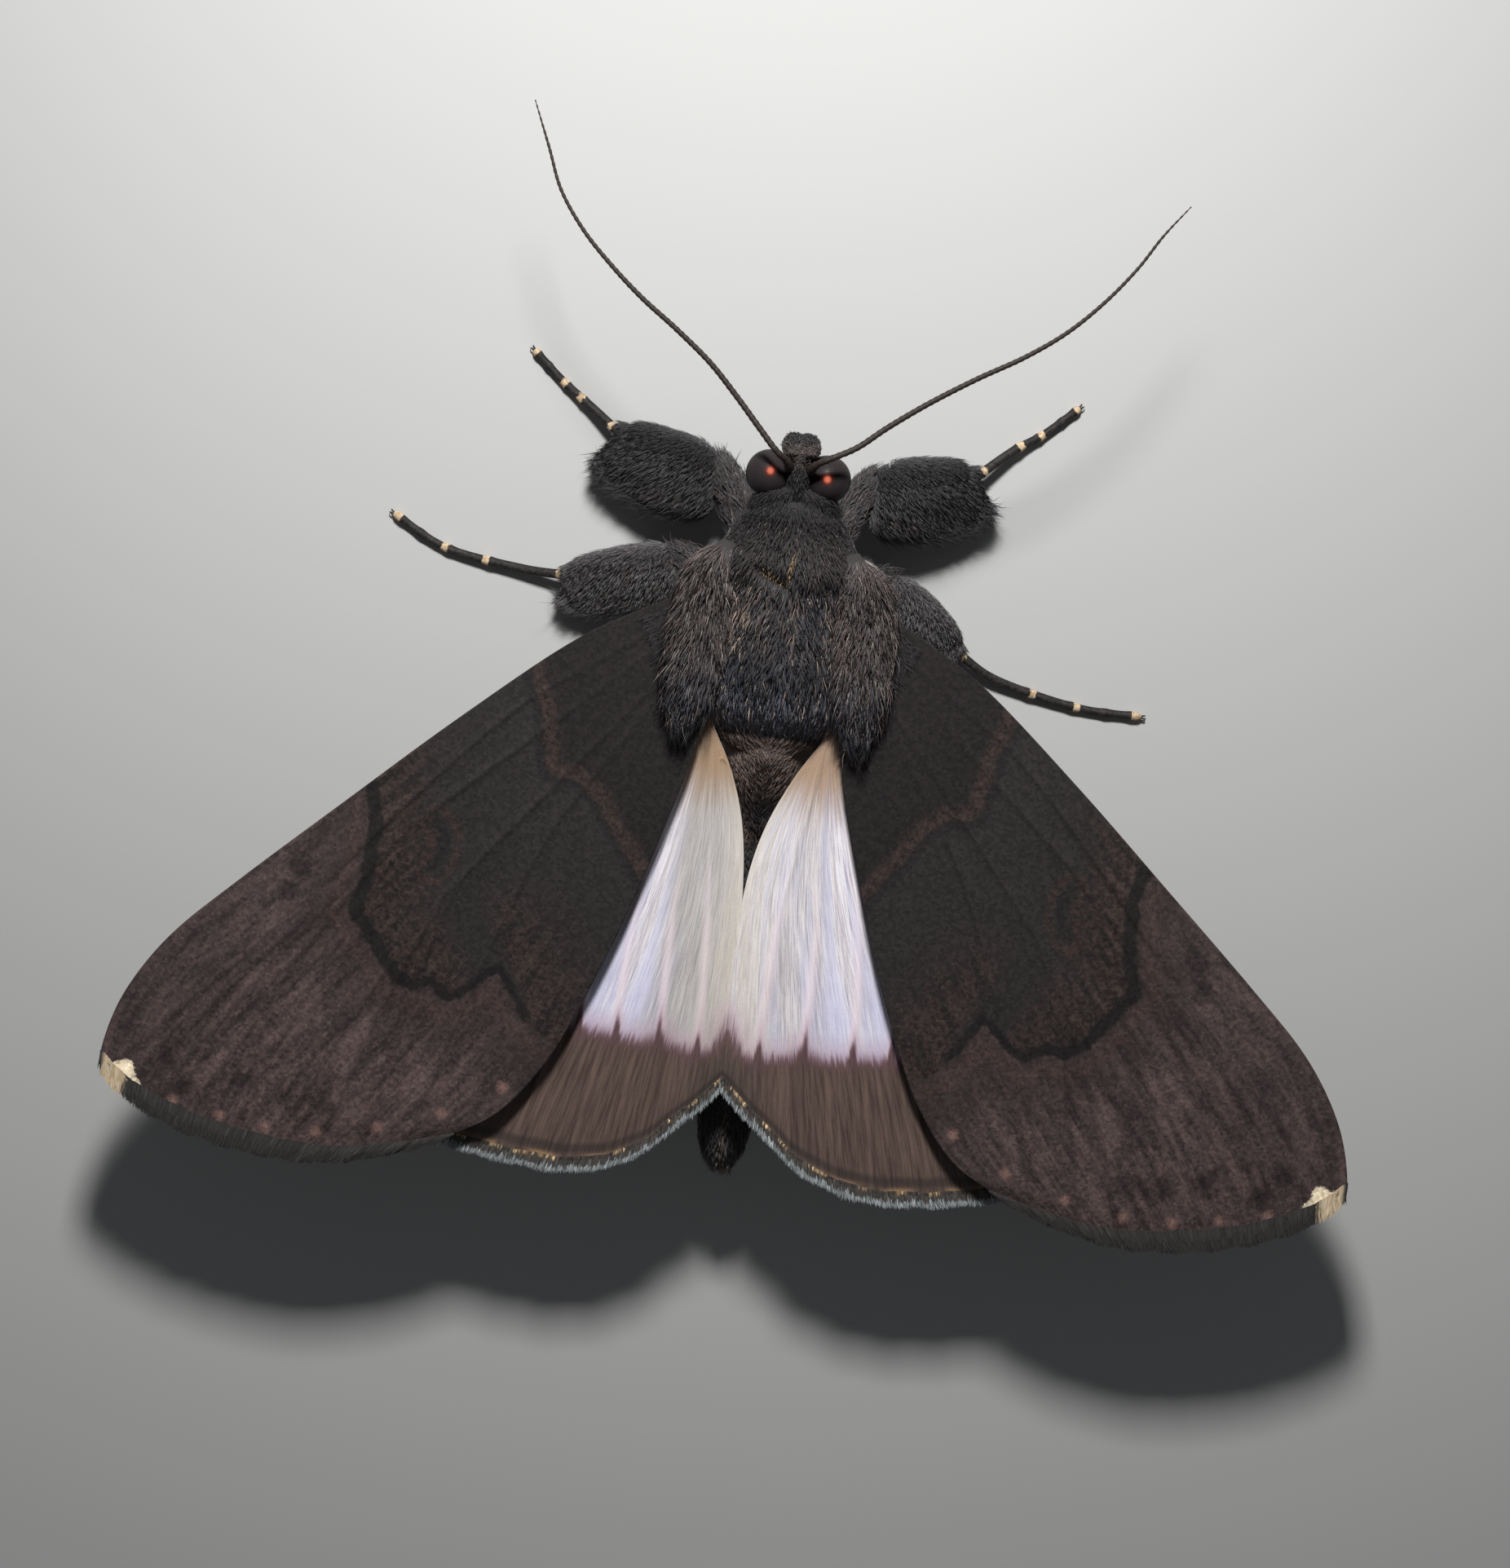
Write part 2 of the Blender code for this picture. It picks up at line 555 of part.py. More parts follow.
LEGS = {
    "foreleg_left": {
        "femur": [(-1.3, 7.0, 3.6), (-1.9, 8.2, 2.6), (-3.0, 10.0, 2.1)],
        "tibia": [(-5.2, 10.5, 1.65), (-7.5, 11.0, 0.9)],
        "tarsus": [(-8.6, 11.8, 0.5), (-10.0, 12.8, 0.22), (-11.3, 13.95, 0.22)],
    },
    "foreleg_right": {
        "femur": [(1.3, 7.0, 3.6), (1.9, 8.2, 2.6), (3.0, 10.0, 2.1)],
        "tibia": [(5.2, 10.5, 1.65), (7.5, 10.8, 0.9)],
        "tarsus": [(8.9, 12.0, 0.5), (10.1, 12.8, 0.22), (11.45, 14.05, 0.22)],
    },
    "midleg_left": {
        "femur": [(-1.6, 4.6, 2.9), (-2.6, 5.4, 2.5), (-4.3, 6.2, 2.3)],
        "tibia": [(-6.6, 5.6, 1.6), (-9.1, 4.85, 0.8)],
        "tarsus": [(-11.0, 4.9, 0.4), (-14.2, 5.4, 0.22), (-16.5, 6.6, 0.22)],
    },
    "midleg_right": {
        "femur": [(1.6, 4.6, 2.9), (2.6, 5.4, 2.5), (3.9, 6.1, 2.3)],
        "tibia": [(5.8, 5.0, 1.6), (7.6, 3.4, 0.8)],
        "tarsus": [(9.4, 2.4, 0.4), (12.9, 1.6, 0.22), (15.7, 1.5, 0.22)],
    },
    "hindleg_left": {
        "femur": [(-1.5, 1.9, 3.1), (-2.9, 0.9, 3.3), (-4.6, -0.8, 3.8)],
        "tibia": [(-6.4, -4.0, 2.8), (-8.1, -7.2, 1.3)],
        "tarsus": [(-8.9, -9.3, 0.4), (-9.7, -12.2, 0.22), (-10.2, -14.6, 0.22)],
    },
    "hindleg_right": {
        "femur": [(1.5, 1.9, 3.1), (2.9, 0.9, 3.3), (4.6, -0.8, 3.8)],
        "tibia": [(6.4, -4.0, 2.8), (8.1, -7.2, 1.3)],
        "tarsus": [(8.9, -9.3, 0.4), (9.7, -12.2, 0.22), (10.2, -14.6, 0.22)],
    },
}


def beyond(point, direction, reach=2.5):
    """A box that takes away all that lies past a joint, from half the gap short of it."""
    direction = unit(direction)
    side = unit(np.cross(direction, (0, 0, 1)))
    top = np.cross(side, direction)
    points, faces = block((-0.93 * reach, -1.04 * reach, 0), (reach, reach, reach))
    turned = points[:, :1] * side + points[:, 1:2] * top + points[:, 2:] * direction
    return turned + point - direction * GAP / 2, faces


def leg_ahead(parts):
    """Level direction across the tibia, towards the head."""
    along = np.subtract(parts["tibia"][-1], parts["femur"][-1])
    ahead = unit(np.cross(along, (0, 0, 1)))
    return ahead * np.sign(ahead[1])


def make_leg(name, parts):
    body = torso(THORAX_FRONT, THORAX_BACK, grow=GAP)
    prothorax = torso(COLLAR_FRONT, COLLAR_BACK, grow=GAP, count=5)
    knee, ankle = np.array(parts["femur"][-1]), np.array(parts["tibia"][-1])
    upper = spline([*parts["femur"], knee + 0.1 * unit(knee - parts["femur"][-2])], 7)
    middle = spline([knee, *parts["tibia"]], 8)
    lower = spline([ankle, *parts["tarsus"]], 12)
    at_knee = unit(unit(upper[-1] - upper[-2]) + unit(middle[1] - middle[0]))
    at_ankle = unit(unit(middle[-1] - middle[-2]) + unit(lower[1] - lower[0]))
    femur = loft(upper, [0.5, 0.7, 0.8, 0.8, 0.75, 0.65, 0.5], [0.5, 0.65, 0.7, 0.7, 0.65, 0.55, 0.45], 8)
    cut = [body, prothorax, beyond(knee, at_knee)]
    node(f"{name}_femur", femur, upper[0], "black_coat", cut=cut)
    brush = 0.0 if name.startswith("hind") else 1.0
    swell = np.array([0.1, 0.5, 0.75, 0.85, 0.85, 0.7, 0.35, 0]) * brush
    behind = middle - swell[:, None] * leg_ahead(parts) * 0.8
    wide = np.array([0.5, 0.65, 0.75, 0.75, 0.72, 0.68, 0.55, 0.35]) + swell * 0.7
    tibia = loft(behind, wide, [0.45, 0.6, 0.7, 0.72, 0.68, 0.6, 0.48, 0.3], 8)
    cut = [beyond(knee, -at_knee), beyond(ankle, at_ankle)]
    node(f"{name}_tibia", tibia, knee, "black_coat", cut=cut)
    thick = TARSUS_RADIUS * np.array([0.8, 1.05, 1, 1, 1.08, 1, 1, 1.06, 1, 1.06, 1, 0.6])
    tarsus = loft(lower, thick, thick, 6, floor=0.0)
    node(f"{name}_tarsus", tarsus, ankle, "horn", cut=[beyond(ankle, -at_ankle)])


def thorax_coat():
    """Long hair scales that sweep back over the thorax and end in a tuft over the waist."""
    for row, y in enumerate(np.linspace(5.1, 0.5, 5)):
        for angle in np.radians(np.arange(-62, 63, 24) + (12 if row % 2 else 0)):
            if abs(angle) < 1.1:
                yield (0, y, THORAX_Z), (math.sin(angle), 0, math.cos(angle)), (0.1 * math.sin(angle), -1, 0), 1
    for angle in np.radians([105, 145, 215, 255]):
        for y in (3.6, 1.2):
            yield (0, y, THORAX_Z), (math.sin(angle), 0, math.cos(angle)), (0.1 * math.sin(angle), -1, 0), 0.7


def collar_coat():
    """The roll of scales behind the head, combed back in two rows."""
    for y, step, start in ((8.25, 30, -105), (7.55, 30, -90)):
        for angle in np.radians(np.arange(start, -start + 1, step)):
            yield (0, y, HEAD_Z), (math.sin(angle), 0.15, math.cos(angle)), (0.25 * math.sin(angle), -1, 0.1), 1


def head_coat():
    """The tuft between the eyes and the hair that leans back over the collar."""
    for lean in (-0.12, 0.12):
        yield (0.5 * lean, 9.95, HEAD_Z), (lean, 0, 1), (2 * lean, -1, 0.9), 1
    for lean in (-0.55, 0.55):
        yield (1.2 * lean, 9.35, HEAD_Z), (0.5 * lean, 0.3, 1), (0.8 * lean, -0.3, 0.9), 0.8
    yield (0, 10.6, 7.2), (0, 1, 0.1), (0, 0.4, 1), 0.8


def tegula_coat(side):
    """Scales of the shoulder cover, that lie back over the wing's root."""
    for y in (5.7, 4.4, 3.1, 1.8, 0.7):
        for out in (-0.5, 0.7):
            yield (side * 3.8, y, 9.6), (side * out, 0, 1), (side * (0.2 + 0.25 * out), -1, 0.05), 1


def abdomen_coat():
    """Dark tufts along the middle of the back, hair along the sides, and the brush at the end."""
    for y in (-0.9, -1.9, -2.9, -3.9):
        for side in (-0.25, 0.25):
            yield (0.3 * side, y, 5.5), (0.6 * side, 0, 1), (0.3 * side, -1, 0.6), 0.75
    for y in (-8.0, -12.5):
        for angle in np.radians([100, 260]):
            yield (0, y, 4.5), (math.sin(angle), 0, math.cos(angle)), (0.4 * math.sin(angle), -1, 0), 0.85
    for angle in np.radians(np.arange(25, 380, 60)):
        yield (0, -17.2, 4.75), (math.sin(angle), -0.1, math.cos(angle)), (0.12 * math.sin(angle), -1, 0), 1


def leg_coat(parts):
    """The brush of the tibia: short ahead of the leg, long behind it, and turned towards the foot."""
    knee, ankle = np.array(parts["femur"][-1]), np.array(parts["tibia"][-1])
    spine = spline([knee, *parts["tibia"]], 40)
    along = unit(ankle - knee)
    ahead = leg_ahead(parts)
    for share in (0.15, 0.38, 0.61, 0.8):
        inside = spine[int(39 * share)] - 0.5 * ahead
        length = 1 if share < 0.7 else 0.6
        yield inside, -ahead + np.array((0, 0, 0.1)), (0.2 + 0.5 * share) * along - (1.3 - 0.5 * share) * ahead, length
        if share < 0.7:
            yield inside, np.array((0, 0, 1)) - 0.3 * ahead, (0.4 + 0.6 * share) * along - 0.9 * ahead, 0.95
            yield inside, 0.8 * ahead + np.array((0, 0, 0.6)), along + 0.1 * ahead, 0.7


def main():
    for obj in list(bpy.data.objects):
        bpy.data.objects.remove(obj)
    parent = bpy.data.objects.new("moth", None)
    bpy.context.scene.collection.objects.link(parent)
    make_thorax()
    make_collar()
    make_tegulae()
    make_abdomen()
    make_head()
    make_palps()
    make_antennae()
    make_wings()
    for name, parts in LEGS.items():
        make_leg(name, parts)
    add_coat("thorax", thorax_coat(), (2.7, 1.15, 0.42, 0.22, 0.12), 1)
    add_coat("collar", collar_coat(), (2.0, 1.1, 0.42, 0.3, 0.12), 2)
    add_coat("head", head_coat(), (1.0, 0.55, 0.3, 0.4, 0.15), 6)
    for name, side in SIDES.items():
        add_coat(f"tegula_{name}", tegula_coat(side), (2.0, 0.9, 0.36, 0.2, 0.1), 3)
    add_coat("abdomen", abdomen_coat(), (1.9, 0.8, 0.35, 0.25, 0.12), 4)
    for name, parts in LEGS.items():
        if not name.startswith("hind"):
            add_coat(f"{name}_tibia", leg_coat(parts), (2.2, 1.25, 0.42, 0.16, 0.1), 5)
    for obj, origin, slot in NODES.values():
        finish_node(obj, origin, slot, parent)


main()
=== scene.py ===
"""A resting owlet moth, Audea bipunctata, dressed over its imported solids.

Shapes are worked out in millimetres on the moth's own axes, +Y to the head, +X to the moth's right and +Z up,
with the waist at y = 0. to_frame() turns them into the row frame's metres.
"""

import math

import bpy
import numpy as np
from mathutils import Matrix, Vector


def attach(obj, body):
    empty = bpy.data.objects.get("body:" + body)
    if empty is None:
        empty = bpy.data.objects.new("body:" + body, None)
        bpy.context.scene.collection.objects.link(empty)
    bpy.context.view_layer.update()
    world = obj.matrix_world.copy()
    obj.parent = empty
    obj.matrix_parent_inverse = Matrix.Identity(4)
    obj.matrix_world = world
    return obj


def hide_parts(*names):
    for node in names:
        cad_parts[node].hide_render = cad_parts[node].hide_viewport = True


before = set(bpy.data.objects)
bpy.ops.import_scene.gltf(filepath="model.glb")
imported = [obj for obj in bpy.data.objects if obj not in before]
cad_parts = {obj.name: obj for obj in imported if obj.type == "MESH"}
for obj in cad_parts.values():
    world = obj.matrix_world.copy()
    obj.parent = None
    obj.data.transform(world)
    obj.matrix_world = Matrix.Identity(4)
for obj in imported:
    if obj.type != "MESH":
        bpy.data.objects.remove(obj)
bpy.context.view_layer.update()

MM = 0.001
WAIST = -1.97
SIDES = {"left": -1, "right": 1}

# Camera, in the moth's millimetres
CAMERA_PLACE = (-2.0878, 13.6687, 107.0688)
CAMERA_TARGET = (-0.3712, -1.8803, 8.3)
CAMERA_ROLL = 6.3
CAMERA_LENS = 58.4

# Light of the studio, in metres and watts
KEY_PLACE, KEY_SIZE, KEY_POWER, KEY_COLOUR = (-0.0065, 0.061, 0.071), 0.013, 0.12, (1.0, 0.99, 0.975)
SURROUND, SURROUND_STRENGTH = (0.93, 0.96, 1.0, 1), 0.08
FLOOR_HALF = 1.5

# Least heights over the floor, in millimetres
HAIR_LOWEST, FOOT_LOWEST = 0.02, 0.01


def to_frame(points):
    """Metres in the row frame: the moth's millimetres, moved by the waist's place and scaled."""
    return (np.asarray(points, float) + (0, WAIST, 0)) * MM


def unit(v):
    """Vectors over their own length."""
    v = np.asarray(v, float)
    return v / np.maximum(np.linalg.norm(v, axis=-1, keepdims=True), 1e-12)


def dot(a, b):
    """Sum of products along the last axis, kept as a column."""
    return np.sum(a * b, axis=-1, keepdims=True)


def spline(points, count):
    """Even points along a Catmull-Rom curve, each span a cubic with its neighbours' slopes."""
    p = np.asarray(points, float)
    p = np.vstack([2 * p[0] - p[1], p, 2 * p[-1] - p[-2]])
    t = np.linspace(0, 1, 17)[:, None]
    fine = np.vstack(
        [
            0.5 * (2 * b + (c - a) * t + (2 * a - 5 * b + 4 * c - d) * t**2 + (3 * b - a - 3 * c + d) * t**3)
            for a, b, c, d in zip(p, p[1:], p[2:], p[3:])
        ]
    )
    run = np.r_[0, np.cumsum(np.linalg.norm(np.diff(fine, axis=0), axis=1))]
    at = np.linspace(0, run[-1], count)
    return np.stack([np.interp(at, run, fine[:, k]) for k in range(p.shape[1])], axis=1)


def step(low, high, value):
    """Smooth rise from 0 at low to 1 at high: 3 t^2 - 2 t^3."""
    t = np.clip((value - low) / (high - low), 0, 1)
    return t * t * (3 - 2 * t)


def walk(line, share):
    """Points at shares 0 to 1 of the way along an even line."""
    at = np.clip(share, 0, 1) * (len(line) - 1)
    return np.stack([np.interp(at, np.arange(len(line)), line[:, k]) for k in range(line.shape[1])], axis=-1)


def line_distance(plan, line):
    """Distance of plan points to a polyline: the least over its segments."""
    best = np.full(plan.shape[:-1], 1e9)
    for a, b in zip(line, line[1:]):
        along = b - a
        share = np.clip(((plan - a) @ along) / max(along @ along, 1e-12), 0, 1)
        off = plan - a - share[..., None] * along
        best = np.minimum(best, np.hypot(off[..., 0], off[..., 1]))
    return best


def past(plan, line, rest=()):
    """Distance past a line, and less than 0 on the side that the rest of its outline closes.

    A point is inside an outline when a ray from it to +X crosses the outline an odd number of times.
    """
    line = np.array(line, float)
    loop = np.vstack([line, *np.reshape(rest, (-1, 1, 2))]) if len(rest) else line
    crossed = np.zeros(plan.shape[:-1], bool)
    for a, b in zip(loop, np.roll(loop, -1, axis=0)):
        spans = (a[1] > plan[..., 1]) != (b[1] > plan[..., 1])
        at = a[0] + (plan[..., 1] - a[1]) * (b[0] - a[0]) / (b[1] - a[1] if b[1] != a[1] else 1)
        crossed ^= spans & (plan[..., 0] < at)
    return line_distance(plan, line if len(rest) else np.vstack([line, line[:1]])) * np.where(crossed, -1, 1)


# Meshes


def grid_faces(rows, columns, closed=False):
    """Triangles of a grid of points: each cell between rows and columns is split along the same diagonal."""
    i, j = np.meshgrid(np.arange(rows - 1), np.arange(columns - (not closed)), indexing="ij")
    a, b = i * columns + j, i * columns + (j + 1) % columns
    c, d = a + columns, b + columns
    return np.concatenate([np.stack([a, b, d], -1).reshape(-1, 3), np.stack([a, d, c], -1).reshape(-1, 3)])


def add_piece(name, points, faces, material, replaces=(), numbers=None, colours=None, maps=None,
              rounded=True):
    """Puts triangles into a mesh in the row frame, with its attributes, and hands it to the frame."""
    mesh = bpy.data.meshes.new(name)
    points, faces = to_frame(points), np.asarray(faces, np.int32)
    mesh.vertices.add(len(points))
    mesh.vertices.foreach_set("co", points.astype(np.float32).ravel())
    mesh.loops.add(faces.size)
    mesh.loops.foreach_set("vertex_index", faces.ravel())
    mesh.polygons.add(len(faces))
    mesh.polygons.foreach_set("loop_start", np.arange(0, faces.size, 3, dtype=np.int32))
    mesh.polygons.foreach_set("use_smooth", np.full(len(faces), rounded))
    mesh.update(calc_edges=True)
    for key, values in (maps or {}).items():
        layer = mesh.uv_layers.new(name=key)
        layer.uv.foreach_set("vector", np.asarray(values, np.float32)[faces.ravel()].ravel())
    for key, values in (numbers or {}).items():
        field = mesh.attributes.new(key, "FLOAT", "POINT")
        field.data.foreach_set("value", np.asarray(values, np.float32).ravel())
    for key, values in (colours or {}).items():
        field = mesh.attributes.new(key, "FLOAT_COLOR", "POINT")
        values = np.asarray(values, np.float32)
        field.data.foreach_set("color", np.hstack([values, np.ones((len(values), 1), np.float32)]).ravel())
    mesh.validate()
    mesh.materials.append(material)
    obj = bpy.data.objects.new(name, mesh)
    bpy.context.scene.collection.objects.link(obj)
    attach(obj, "root")
    if replaces:
        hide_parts(*replaces)
    return obj


# Materials


def operator(kind, reflected=False):
    """A method that adds one Math node, its two values the other way round when reflected."""
    def method(self, other):
        first, second = (other, self) if reflected else (self, other)
        return self.math(kind, first, second)
    return method


class Socket:
    """A value in a material's tree. Sums and products of sockets and numbers become its Math nodes."""

    def __init__(self, finish, link):
        self.finish = finish
        self.link = link

    def math(self, operation, first, second=None):
        return self.finish.node("Math", {"operation": operation}, {0: first, 1: second})

    __add__, __radd__ = operator("ADD"), operator("ADD", True)
    __sub__, __rsub__ = operator("SUBTRACT"), operator("SUBTRACT", True)
    __mul__, __rmul__ = operator("MULTIPLY"), operator("MULTIPLY", True)

    def size(self):
        return self.math("ABSOLUTE", self)

    def rise(self, low, high):
        """Smooth rise from 0 at low to 1 at high."""
        settings = {"interpolation_type": "SMOOTHSTEP"}
        return self.finish.node("MapRange", settings, {"Value": self, "From Min": low, "From Max": high})

    def fall(self, low, high):
        return 1 - self.rise(low, high)


class Finish:
    """One Principled material and the few calls that fill its tree."""

    def __init__(self, name, **fixed):
        self.material = bpy.data.materials.new(name)
        self.material.use_nodes = True
        self.tree = self.material.node_tree
        self.shader = self.tree.nodes["Principled BSDF"]
        for key, value in fixed.items():
            self.shader.inputs[key.replace("_", " ").title().replace("Ior", "IOR")].default_value = value

    def put(self, socket, value):
        if isinstance(value, Socket):
            self.tree.links.new(value.link, socket)
        elif value is not None:
            wide = (hasattr(socket.default_value, "__len__") and len(socket.default_value) == 4
                    and len(value) == 3)
            socket.default_value = (*value, 1) if wide else value

    def node(self, kind, settings=None, inputs=None, output=0):
        """Any node: its settings are put first, then the values or links of its sockets."""
        made = self.tree.nodes.new("ShaderNode" + kind)
        for key, value in (settings or {}).items():
            setattr(made, key, value)
        for key, value in (inputs or {}).items():
            self.put(made.inputs[key], value)
        return Socket(self, made.outputs[output])

    def number(self, name):
        return self.node("Attribute", {"attribute_name": name}, output="Fac")

    def colour(self, name):
        return self.node("Attribute", {"attribute_name": name}, output="Color")

    def mix(self, factor, first, second, blend="MIX"):
        made = self.tree.nodes.new("ShaderNodeMix")
        made.data_type = "RGBA"
        made.blend_type = blend
        self.put(made.inputs["Factor"], factor)
        self.put(made.inputs[6], first)
        self.put(made.inputs[7], second)
        return Socket(self, made.outputs[2])

    def where(self, scale, stretch=(1, 1, 1), source="Object", turn=0.0):
        """Coordinates for a pattern, in millimetres over a size, stretched and turned in plan."""
        scale = [1000 * scale * s for s in stretch] if source == "Object" else [scale * s for s in stretch]
        place = self.node("TexCoord", output=source)
        return self.node("Mapping", {}, {"Vector": place, "Rotation": (0, 0, turn), "Scale": scale})

    def noise(self, at, detail=2.0, rough=0.5):
        return self.node("TexNoise", {}, {"Vector": at, "Scale": 1.0, "Detail": detail, "Roughness": rough})

    def cells(self, at):
        """A random number for each cell of a Voronoi pattern."""
        random = self.node("TexVoronoi", {}, {"Vector": at, "Scale": 1.0}, output="Color")
        return self.node("SeparateColor", {}, {"Color": random})

    def bump(self, height, distance, strength=1.0):
        """Bump of a height field, its full height in millimetres."""
        inputs = {"Height": height, "Distance": distance * MM, "Strength": strength}
        self.tree.links.new(self.node("Bump", {}, inputs).link, self.shader.inputs["Normal"])

    def paint(self, **values):
        for key, value in values.items():
            self.put(self.shader.inputs[key.replace("_", " ").title()], value)
        return self.material


# Tubes: the body, limbs, feelers and palps


class Tube:
    """A tube through stations of x, y, z, half width and half height.

    Each point is the path's, plus the sine and cosine of an angle times the half sizes across. Angle 0 is the
    upper side, and a quarter turn is the side to the right of the way along.
    """

    def __init__(self, stations, up=(0, 0, 1), along=None, count=160):
        table = spline(stations, count)
        self.path, self.sizes = table[:, :3], table[:, 3:]
        self.way = unit(np.gradient(self.path, axis=0)) if along is None else np.tile(np.array(along, float),
                                                                                      (count, 1))
        self.side = unit(np.cross(self.way, up))
        self.top = np.cross(self.side, self.way)

    def pick(self, table, share):
        where = share * (len(table) - 1)
        return np.stack([np.interp(where, np.arange(len(table)), table[:, k])
                         for k in range(table.shape[1])], -1)

    def share(self, y):
        """Share at which a tube that runs towards the head reaches y."""
        return np.interp(y, self.path[:, 1], np.linspace(0, 1, len(self.path)))

    def at(self, share, angle, grow=0.0):
        share, angle = np.broadcast_arrays(np.asarray(share, float), np.asarray(angle, float))
        sizes = self.pick(self.sizes, share) + np.asarray(grow)[..., None]
        across = (sizes[..., 0] * np.sin(angle))[..., None] * self.pick(self.side, share)
        return (self.pick(self.path, share) + across
                + (sizes[..., 1] * np.cos(angle))[..., None] * self.pick(self.top, share))

    def normal(self, share, angle):
        """Outward direction: the cross product of the slopes round and along the tube."""
        share = np.clip(share, 0.004, 0.996)
        run = self.at(share + 0.003, angle) - self.at(share - 0.003, angle)
        turn = self.at(share, np.asarray(angle) + 0.01) - self.at(share, np.asarray(angle) - 0.01)
        return unit(np.cross(turn, run))

    def skin(self, rings, columns, relief=None):
        """Closed grid of the tube, a point at each end: points, faces, each point's share and angle."""
        share, angle = np.meshgrid(np.linspace(0, 1, rings), np.arange(columns) * 2 * math.pi / columns,
                                   indexing="ij")
        points = self.at(share, angle, np.zeros_like(share) if relief is None
                         else relief(share, angle)).reshape(-1, 3)
        n, base = len(points), (rings - 1) * columns
        j = np.arange(columns)
        k = (j + 1) % columns
        start = np.stack([np.full(columns, n), k, j], -1)
        end = np.stack([np.full(columns, n + 1), base + j, base + k], -1)
        faces = np.concatenate([grid_faces(rings, columns, closed=True), start, end])
        points = np.vstack([points, self.path[0], self.path[-1]])
        return points, faces, np.r_[share.ravel(), 0, 1], np.r_[angle.ravel(), 0, 0]


def join(parts):
    """Several (points, faces, ...) as one, their other columns stacked too."""
    shift, faces = 0, []
    for part in parts:
        faces.append(part[1] + shift)
        shift += len(part[0])
    rest = [np.concatenate([part[k] for part in parts]) for k in range(2, len(parts[0]))]
    return (np.vstack([part[0] for part in parts]), np.vstack(faces), *rest)


# Coat: each tuft is a slender closed spike

TUFT_FACES = np.array(
    [(0, 1, 4), (0, 4, 3), (1, 2, 5), (1, 5, 4), (2, 0, 3), (2, 3, 5), (3, 4, 6), (4, 5, 6), (5, 3, 6),
     (0, 2, 1)]
)


def tufts(root, normal, lie, length, width, lift, sag, draw, flat=0.5, sink=0.08):
    """Tapered spikes with a three-sided section.

    A spike's middle line is the root plus its length times (t start + t^2/2 (end - start)): it sets out along
    its lie, lifted off the skin, and its end turns back to the skin by its sag, with a little sideways sway.
    """
    lie = unit(lie - dot(lie, normal) * normal)
    sideways = np.cross(lie, normal)
    n = len(root)
    length, width, lift, sag = (np.broadcast_to(v, n)[:, None] for v in (length, width, lift, sag))
    start = unit(lie + lift * normal)
    end = unit(lie - sag * normal + draw.normal(0, 0.16, (n, 1)) * sideways)
    t = np.array([0.0, 0.5, 1.0])[None, :, None]
    run = root[:, None] + length[..., None] * (t * start[:, None] + t**2 / 2 * (end - start)[:, None])
    run[:, 0] -= sink * normal
    side, top = np.cross(start, normal), normal
    half = (width / 2)[..., None] * np.array([0.85, 0.95])[None, :, None]
    corners = (
        run[:, :2] - half * side[:, None],
        run[:, :2] + half * side[:, None],
        run[:, :2] + 2 * flat * half * top[:, None],
    )
    points = np.concatenate([np.stack(corners, 2).reshape(n, 6, 3), run[:, 2:]], axis=1)
    faces = (TUFT_FACES[None] + 7 * np.arange(n)[:, None, None]).reshape(-1, 3)
    return points.reshape(-1, 3), faces


TUFT_ALONG = np.array([0, 0, 0, 0.5, 0.5, 0.5, 1.0])
TUFT_ACROSS = np.array([0, 1, 0.5, 0, 1, 0.5, 0.5])
PATCH, UNWRAP_EDGE, UNWRAP_SPAN = 0.003, 0.004, 0.992


def scatter(count, ratio, draw):
    """Even but unruly places in a unit square: jittered cells, ratio times as many along as across."""
    rows = max(1, int(round(math.sqrt(count * ratio))))
    columns = max(1, int(round(count / rows)))
    u, v = np.meshgrid(np.arange(columns), np.arange(rows))
    jitter = draw.uniform(-0.5, 0.5, (2, rows, columns))
    u = (u + 0.25 + 0.5 * (v % 2) + jitter[0]) / columns
    v = (v + 0.5 + jitter[1]) / rows
    return np.clip(u.ravel(), 0, 1), np.clip(v.ravel(), 0, 1)


def clumps(place, count, draw):
    """A random number 0 to 1 that the tufts of a strand share, for count strands over 0 to 1."""
    return draw.uniform(size=count + 1)[np.clip(np.asarray(place) * count, 0, count).astype(int)]


